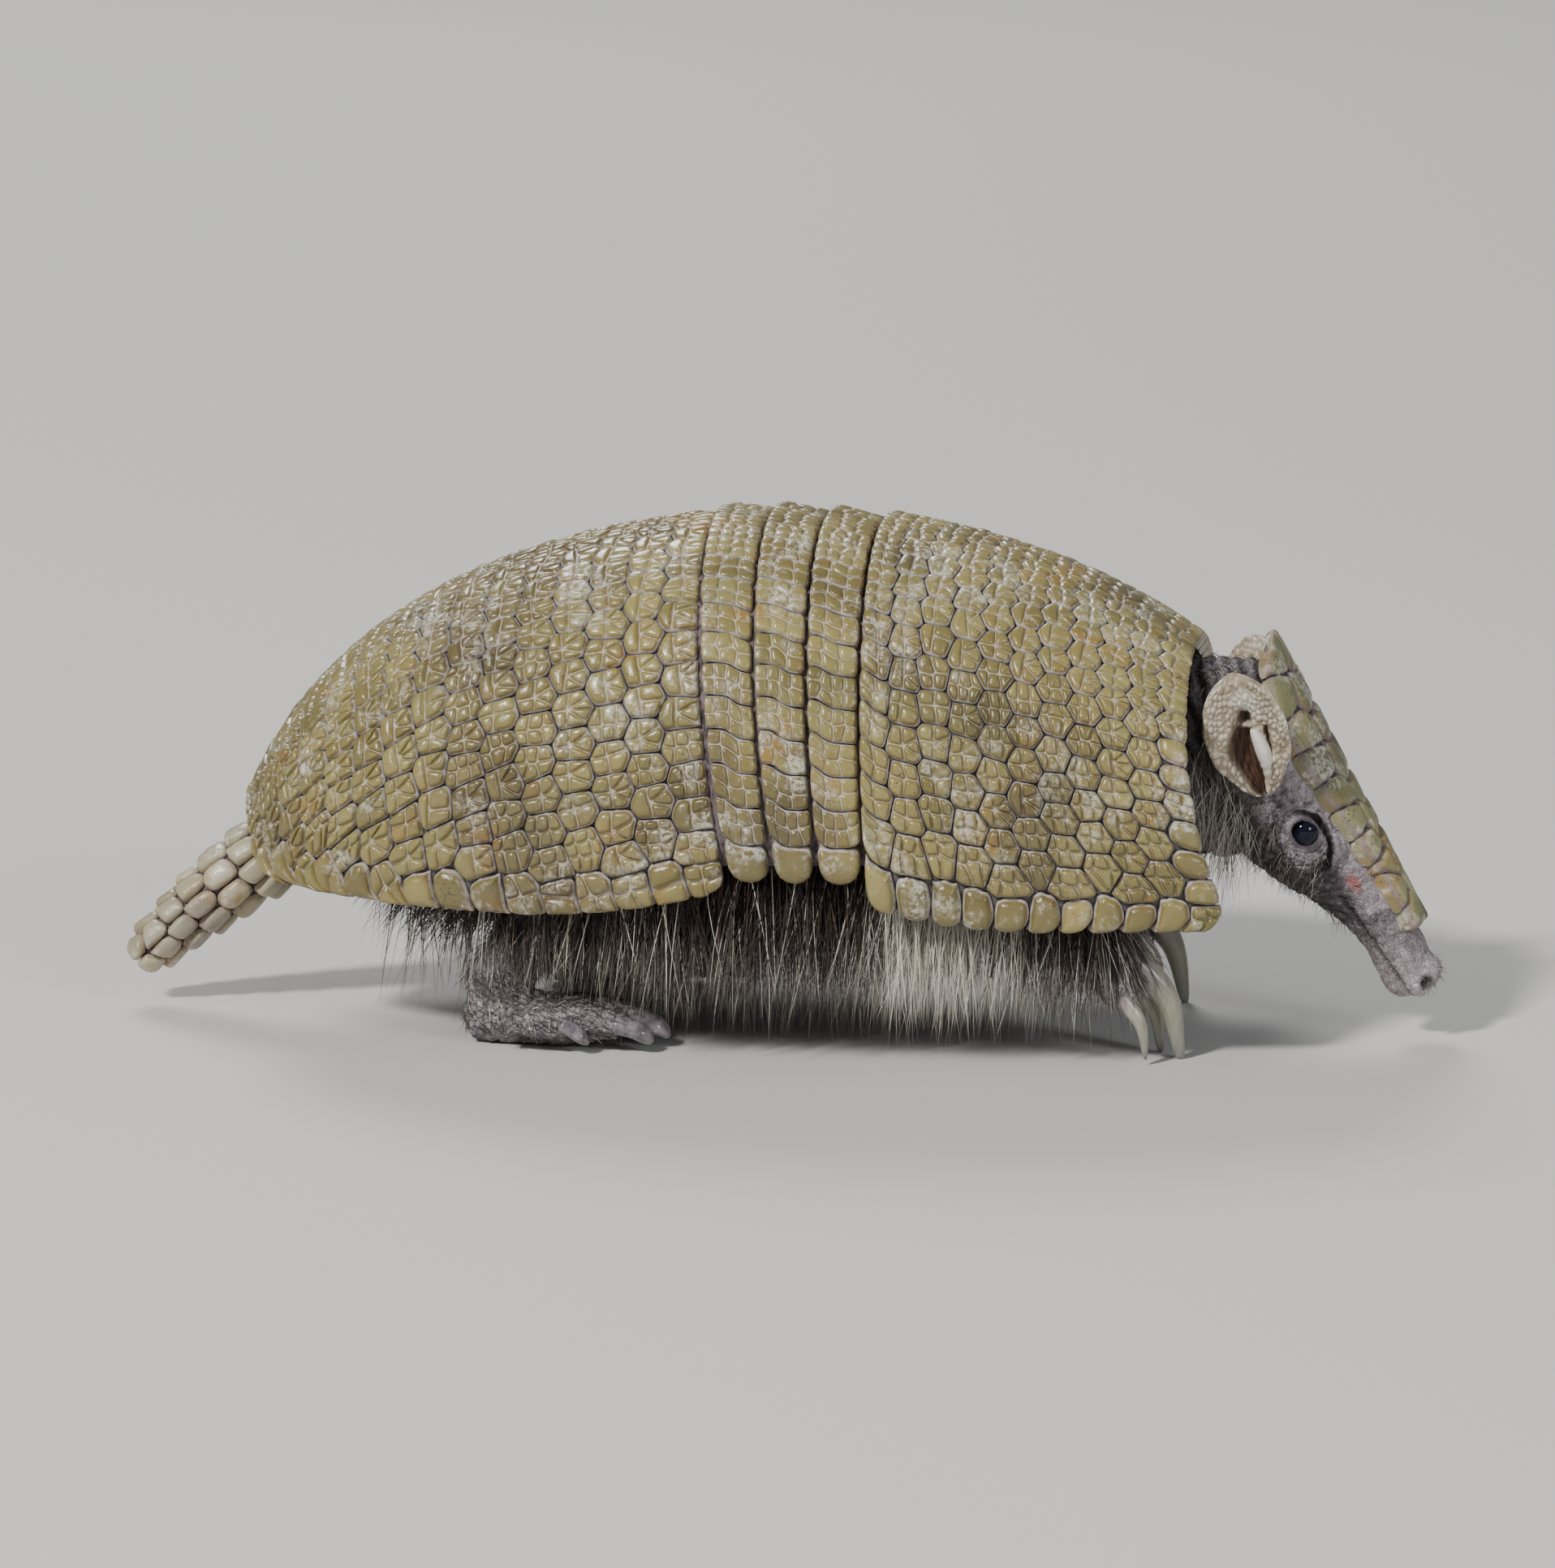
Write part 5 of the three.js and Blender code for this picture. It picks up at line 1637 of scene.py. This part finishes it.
TAIL_STATIONS = (
    (-108, 0, 48, 10, 8.6),
    (-120, 0, 40, 9.6, 8.4),
    (-132, 0, 31, 9, 8),
    (-145, 0, 20.5, 7.3, 6.6),
    (-155, 0, 11.5, 5, 4.6),
)
TAIL_TIP = 5.5  # length of the sheet that closes over the tip
TAIL_RADIUS = 8.2
TAIL_OVERLAP = 1.3  # the flat sheet is this much wider than the way round the tail
TAIL_GROOVE = 0.22
TAIL_STEPS = 200
TAIL_RINGS = (10, 10, 9, 9, 9, 8, 8, 7, 6, 4)  # scutes in each ring, from the root to the tip


class TailDome(Sheet):
    """The tail's surface, in the same terms as the shell's dome. Across goes round it and a bit further."""

    def __init__(self):
        line = curve_through(TAIL_STATIONS, np.linspace(0, 1, TAIL_STEPS))
        self.spine, self.size = line[:, :3], line[:, 3:5]
        self.ahead = unit(np.gradient(self.spine, axis=0))
        self.reach = float(np.linalg.norm(np.diff(self.spine, axis=0), axis=1).sum())
        self.length = self.reach + TAIL_TIP

    def bend(self, across, along, height):
        run = along * self.length
        last = TAIL_STEPS - 1
        index = np.clip((run / self.reach * last).astype(int), 0, last)
        size, ahead = self.size[index], self.ahead[index]
        up = np.cross(ahead, (0, 1.0, 0))
        up *= np.sign(up[:, 2:3])
        past = np.clip((run - self.reach) / TAIL_TIP, 0, 1)
        shrink = np.sqrt(1 - 0.97 * past**2)
        angle = across * TAIL_OVERLAP * math.pi
        wide = size[:, 0] * shrink + (height - 0.6) * shrink
        deep = size[:, 1] * shrink + (height - 0.6) * shrink
        place = self.spine[index] + ahead * (past * 4.2 + height * past * 0.7)[:, None]
        place[:, 1] += wide * np.sin(angle)
        place += up * (deep * np.cos(angle))[:, None]
        return in_frame(place)


tail_dome = TailDome()
tail_rng = random.Random(17)
tail_half = math.pi * TAIL_RADIUS
tail_sheet_half = tail_half * TAIL_OVERLAP
tail_places = []
for row, count in enumerate(TAIL_RINGS):
    y = tail_dome.length * (row + 0.5) / len(TAIL_RINGS)
    for i in range(-1, count + 1):
        x = tail_half * (2 * (i + (0.5 if row % 2 else 0)) / count - 1)
        tail_places.append(Vector((x, y)))
tail_sheet = [Vector((-tail_sheet_half, 0)), Vector((tail_sheet_half, 0))]
tail_sheet += [Vector((p.x, tail_dome.length)) for p in reversed(tail_sheet)]
tail_scutes = []
for spot in tail_places:
    if -tail_half - 0.01 <= spot.x < tail_half - 0.01:
        tail_scutes.append((spot, "smooth", cell_of(spot, tail_places, tail_sheet, 30, TAIL_GROOVE)))
tail_piece = scuted_plate(
    "tail_scutes",
    tail_dome,
    tail_sheet_half,
    tail_dome.length,
    tail_scutes,
    tail_rng,
    lambda across, along: 1.35 - 0.5 * along,
    tilt=-0.24,
)
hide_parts("tail")
tail_horn = horn_of_scutes(
    "tail_horn",
    deep=(0.23, 0.2, 0.115),
    light=(0.53, 0.49, 0.35),
    crack=(0.36, 0.31, 0.24),
    groove=(0.16, 0.13, 0.1),
    specked=0.06,
)
tail_piece.data.materials.append(tail_horn)
tail_piece.data.materials.append(bone_finish)

# ---------------------------------------------------------------------------------------------------- hair
# Long coarse hair hangs from the flanks and belly below the shell, shorter hair lies down the legs, and a few
# bristles stand on the cheeks. Each hair is a thin tapering three-sided blade with its root in the hide.

ROOT_DEPTH = 0.5  # how far a root is set into the hide
HAIR_LOWEST = 0.3  # no hair comes nearer than this to the floor
hair_draw = np.random.default_rng(31)
face_spots = read_all(skin_data.polygons, "center") / MM - np.array(ORIGIN)
face_normals = read_all(skin_data.polygons, "normal")
face_areas = read_all(skin_data.polygons, "area", 1)[:, 0]


def roots_where(count, weight):
    """Roots on the hide, picked by how thickly hair grows at each face: places and the hide's normals."""
    chance = face_areas * weight
    picked = hair_draw.choice(len(chance), count, p=chance / chance.sum())
    loose = hair_draw.normal(0, 0.35, (count, 3))
    normals = face_normals[picked]
    loose -= normals * (loose * normals).sum(1, keepdims=True)
    return face_spots[picked] + loose, normals


def lying(normals, flow, lift):
    """The way a hair grows: along the flow where it meets the hide, raised by the lift."""
    flat = flow - normals * (flow * normals).sum(1, keepdims=True)
    return unit(unit(flat) * (1 - lift[:, None]) + normals * lift[:, None])


def chart_place(spots, chart):
    """Where a root lies on an unwrap of the hide: each part of the body is rolled out into its own strip."""
    x, y, z = spots.T
    if chart == "head":
        s, left, above = in_head(spots)
        turn = np.arctan2(left, above + 12) / (2 * math.pi) + 0.5
        return np.c_[0.02 + 0.6 * np.clip(s / 84, 0, 1), 0.56 + 0.4 * turn]
    if chart == "trunk":
        turn = np.arctan2(y, 48 - z) / (2 * math.pi) + 0.5
        return np.c_[0.02 + 0.6 * np.clip((x + 125) / 215, 0, 1), 0.02 + 0.5 * turn]
    strip = (x < 0) * 2 + (y > 0)
    middle_x = np.where(x < 0, -62, 50)
    turn = np.arctan2(np.abs(y) - 31, x - middle_x) / (2 * math.pi) + 0.5
    return np.c_[0.66 + 0.32 * np.clip(z / 62, 0, 1), 0.02 + 0.24 * strip + 0.22 * turn]


def hair_piece(name, roots, growth, lengths, thickness, chart, pale, droop=0.25, curl=0.06, steps=5):
    """A mesh of hairs. pale is the share of cream in each; droop turns the outer part down."""
    count = len(roots)
    t = np.linspace(0, 1, steps + 1)[None, :, None]
    sideways = unit(np.cross(growth, hair_draw.normal(size=(count, 3))))
    wave = hair_draw.uniform(0.6, 2.2, count)[:, None, None]
    bow = sideways[:, None] * np.sin(t * wave * 2) * curl * hair_draw.normal(0.6, 0.6, count)[:, None, None]
    fall = np.array([0, 0, -1.0])[None, None] * t**2 * droop
    line = roots[:, None] + (growth[:, None] * t + bow + fall) * lengths[:, None, None]
    line = line - growth[:, None] * ROOT_DEPTH
    line[..., 2] = np.maximum(line[..., 2], HAIR_LOWEST)
    ahead = unit(np.gradient(line, axis=1))
    first = unit(np.cross(ahead, sideways[:, None]))
    second = np.cross(ahead, first)
    radius = thickness[:, None, None] * (1 - 0.85 * t**1.5)
    corners = []
    for k in range(3):
        angle = 2 * math.pi * k / 3
        corners.append(line + (first * math.cos(angle) + second * math.sin(angle)) * radius)
    levels = np.stack(corners, axis=2)[:, :-1]
    block = 3 * steps + 1
    verts = in_frame(np.concatenate([levels.reshape(count, -1, 3), line[:, -1:]], axis=1).reshape(-1, 3))
    pattern = [(0, 2, 1)]
    for j in range(steps - 1):
        for k in range(3):
            m = (k + 1) % 3
            pattern.append((3 * j + k, 3 * j + m, 3 * j + 3 + m, 3 * j + 3 + k))
    pattern += [(3 * steps - 3 + k, 3 * steps - 3 + (k + 1) % 3, 3 * steps) for k in range(3)]
    sizes = np.array([len(p) for p in pattern])
    corners_of = np.concatenate([np.array(p) for p in pattern])
    loops = (corners_of[None] + block * np.arange(count)[:, None]).ravel()
    data = bpy.data.meshes.new(name)
    data.vertices.add(len(verts))
    data.vertices.foreach_set("co", verts.ravel())
    data.loops.add(len(loops))
    data.loops.foreach_set("vertex_index", loops)
    data.polygons.add(count * len(pattern))
    starts = np.concatenate([[0], np.cumsum(np.tile(sizes, count))[:-1]])
    data.polygons.foreach_set("loop_start", starts)
    data.polygons.foreach_set("use_smooth", np.ones(len(starts), dtype=bool))
    data.update(calc_edges=True)
    share = np.concatenate([np.repeat(t[0, :-1, 0], 3), [1.0]])
    own = hair_draw.uniform(0, 1, count)
    tone = data.attributes.new("hair_map", "FLOAT_COLOR", "POINT")
    own, pale = np.repeat(own, block), np.repeat(pale, block)
    tone.data.foreach_set("color", np.c_[np.tile(share, count), own, pale, np.ones(len(own))].ravel())
    spread = np.concatenate([np.tile([-0.001, 0, 0.001], steps), [0.0]])
    bake = data.uv_layers.new(name="OFBake")
    place_of = chart_place(roots, chart)
    u = np.repeat(place_of[:, 0], block) + np.tile(spread, count)
    v = np.repeat(place_of[:, 1], block) + np.tile(share * 0.003, count)
    bake.data.foreach_set("uv", np.c_[u, v][loops].ravel())
    piece = set_down(name, data)
    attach(piece, "root")
    piece.data.materials.append(hair_finish)


hair_finish, tree, shader, place = bare_material("hair", 0.42)
way_up, own_shade, cream_share = channels(tree, point_map(tree, "hair_map")["Color"])
dark = mixed(tree, own_shade, (0.012, 0.009, 0.009), (0.075, 0.052, 0.042))
light = mixed(tree, own_shade, (0.56, 0.51, 0.41), (0.9, 0.87, 0.79))
# Each hair pales towards its tip: partly pale tips and partly painted sheen.
tips_and_sheen = product(tree, ramp(tree, way_up, (0.5, 0.0), (1.0, 0.38)), own_shade)
cream = maths(tree, "ADD", cream_share, tips_and_sheen)
colour = mixed(tree, maths(tree, "MINIMUM", cream, 1.0), dark, light)
tree.links.new(colour, shader.inputs["Base Color"])
shader.inputs["Specular IOR Level"].default_value = 0.35

x, y, z = face_spots.T
nx, nz = face_normals[:, 0], face_normals[:, 2]

# The fringe hangs from both flanks, dark with a cream patch behind the front leg.
FRINGE_HAIRS = 3700
PATCH_FROM, PATCH_TO = (1, 8), (26, 46)
HIND_THIN = (34, 54)  # over this stretch towards the tail the fringe gets thinner and shorter
flank = smooth_step(np.abs(y), 26, 38) * (1 - smooth_step(z, 36, 47)) * (1 - smooth_step(nz, 0.1, 0.5))
flank = flank * smooth_step(x, -104, -92) * (1 - smooth_step(x, 50, 60)) * (z > 24.5)
flank = flank * (1 - 0.6 * smooth_step(-x, *HIND_THIN))
for side_name, side in SIDES.items():
    count = FRINGE_HAIRS
    roots, normals = roots_where(count, flank * (y * side > 0))
    along = roots[:, 0]
    tips_z = hair_draw.normal(11.5, 3.6, count) - 4 * hair_draw.random(count) ** 5
    tips_z += 2.5 * smooth_step(-along, *HIND_THIN)
    lengths = np.clip(roots[:, 2] - np.maximum(tips_z, 3), 8, 36)
    sway = hair_draw.normal(-0.05, 0.14, count) * (1 + 1.6 * (hair_draw.random(count) < 0.18))
    flow = np.c_[sway, side * hair_draw.normal(0.04, 0.07, count), -np.ones(count)]
    growth = unit(flow + normals * 0.07)
    patch = smooth_step(along, *PATCH_FROM) * (1 - smooth_step(along, *PATCH_TO))
    pale = (hair_draw.random(count) < 0.12 + 0.82 * patch) * hair_draw.uniform(0.7, 1.0, count)
    thickness = hair_draw.uniform(0.08, 0.14, count) + 0.06 * (hair_draw.random(count) < 0.25)
    name = f"fringe_{side_name}"
    hair_piece(name, roots, growth, lengths, thickness, "trunk", pale, droop=0.03, curl=0.035)

count = 4200
belly = (nz < -0.6) * (z > 23) * (np.abs(y) < 40) * smooth_step(x, -104, -92) * (1 - smooth_step(x, 48, 58))
roots, normals = roots_where(count, belly)
backward = hair_draw.normal(-0.7, 0.25, count)
outward = np.sign(roots[:, 1]) * 0.15 + hair_draw.normal(0, 0.2, count)
growth = unit(np.c_[backward, outward, np.full(count, -0.6)] + normals * 0.25)
lengths = hair_draw.uniform(8, 15, count)
pale = (hair_draw.random(count) < 0.16) * 0.6
thickness = hair_draw.uniform(0.1, 0.16, count)
hair_piece("belly_hair", roots, growth, lengths, thickness, "trunk", pale, droop=0.15)

count = 5200
leg = (z > 4) & (z < 52) & (np.abs(y) > 16) & (((x > 36) & (x < 64)) | ((x < -46) & (x > -92)))
leg = leg & ~((nz < -0.8) & (z > 22))
leg_weight = leg * (0.25 + 0.75 * smooth_step(z, 12, 22)) * (1 - 0.6 * smooth_step(z, 36, 46))
roots, normals = roots_where(count, leg_weight)
forward = np.where(roots[:, 0] > 0, 0.25, -0.35 * np.sign(roots[:, 2] - 26))
flow = np.c_[forward + hair_draw.normal(0, 0.18, count), hair_draw.normal(0, 0.18, count), -np.ones(count)]
growth = lying(normals, flow, hair_draw.uniform(0.12, 0.4, count))
lengths = np.clip(hair_draw.normal(7, 2, count) * (0.4 + 0.6 * smooth_step(roots[:, 2], 9, 24)), 1.8, 13)
pale = np.clip((hair_draw.random(count) < 0.3) * 0.7 + 0.06, 0, 1)
thickness = hair_draw.uniform(0.08, 0.13, count)
hair_piece("leg_hair", roots, growth, lengths, thickness, "leg", pale, droop=0.08, steps=4)


def short_hair(name, count, weight, flow, lift, cream, length, thickness, chart="head", **shape):
    """Short hairs lying along the hide. flow gives the middle and the spread of each direction, and lift,
    length and thickness their ranges. cream turns a draw for each hair into its share of cream."""
    roots, normals = roots_where(count, weight)
    ways = []
    for middle, spread in flow:
        ways.append(hair_draw.normal(middle, spread, count) if spread else np.full(count, middle))
    growth = lying(normals, np.stack(ways, axis=1), hair_draw.uniform(*lift, count))
    pale = cream(hair_draw.random(count))
    lengths = hair_draw.uniform(*length, count)
    hair_piece(name, roots, growth, lengths, hair_draw.uniform(*thickness, count), chart, pale, **shape)


s, left, above = in_head(face_spots)
on_face = x > 70
from_eye_s, from_eye_above = s - EYE_PLACE.x, above - EYE_PLACE.z
cheek = on_face & (s > 20) & (s < 62) & (above < -13) & (nx > -0.9)
around_eye = on_face & (np.hypot(from_eye_s, from_eye_above) > 5.4) & (np.abs(left) > 8)
around_eye &= (np.hypot(from_eye_s - 3, from_eye_above + 5) < 9) & (above < -9)
short_hair(
    "foot_hair",
    count=1700,
    weight=(x < -47) & (z > 3) & (z < 16) & (nz > -0.35),
    flow=((0.9, 0), (0, 0.22), (-0.45, 0.2)),
    lift=(0.05, 0.25),
    cream=lambda draw: (draw < 0.1) * 0.6,
    length=(1.8, 4.2),
    thickness=(0.06, 0.1),
    chart="leg",
    droop=0.06,
    steps=3,
)
short_hair(
    "face_bristles",
    count=900,
    weight=cheek * 1.0 + around_eye * 2.5,
    flow=((-0.3, 0.25), (0, 0.2), (-0.9, 0.25)),
    lift=(0.15, 0.45),
    cream=lambda draw: (draw < 0.25) * 0.6,
    length=(2, 4.6),
    thickness=(0.05, 0.085),
    steps=3,
)
short_hair(
    "nose_bristles",
    count=70,
    weight=(s > 74) & (above > -5),
    flow=((0.2, 0.5), (0, 0.5), (-0.4, 0.4)),
    lift=(0.5, 0.9),
    cream=lambda draw: (draw < 0.4) * 0.7,
    length=(1.2, 2.8),
    thickness=(0.045, 0.07),
    steps=3,
)
short_hair(
    "neck_bristles",
    count=900,
    weight=(x > 57) & (s < 6) & (z > 52),
    flow=((-0.2, 0.5), (0, 0.4), (-0.5, 0.4)),
    lift=(0.25, 0.6),
    cream=lambda draw: (draw < 0.2) * 0.5,
    length=(1.6, 4),
    thickness=(0.06, 0.1),
    steps=3,
)
short_hair(
    "throat_bristles",
    count=420,
    weight=(x > 64) & (s > 10) & (s < 34) & (above < -18),
    flow=((-0.1, 0.3), (0, 0.25), (-1, 0.2)),
    lift=(0.3, 0.6),
    cream=lambda draw: np.clip(0.2 + draw, 0, 1),
    length=(6, 15),
    thickness=(0.07, 0.12),
    droop=0.3,
)

# ------------------------------------------------------------------------------------------------------- end
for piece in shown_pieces():
    piece.data.update()
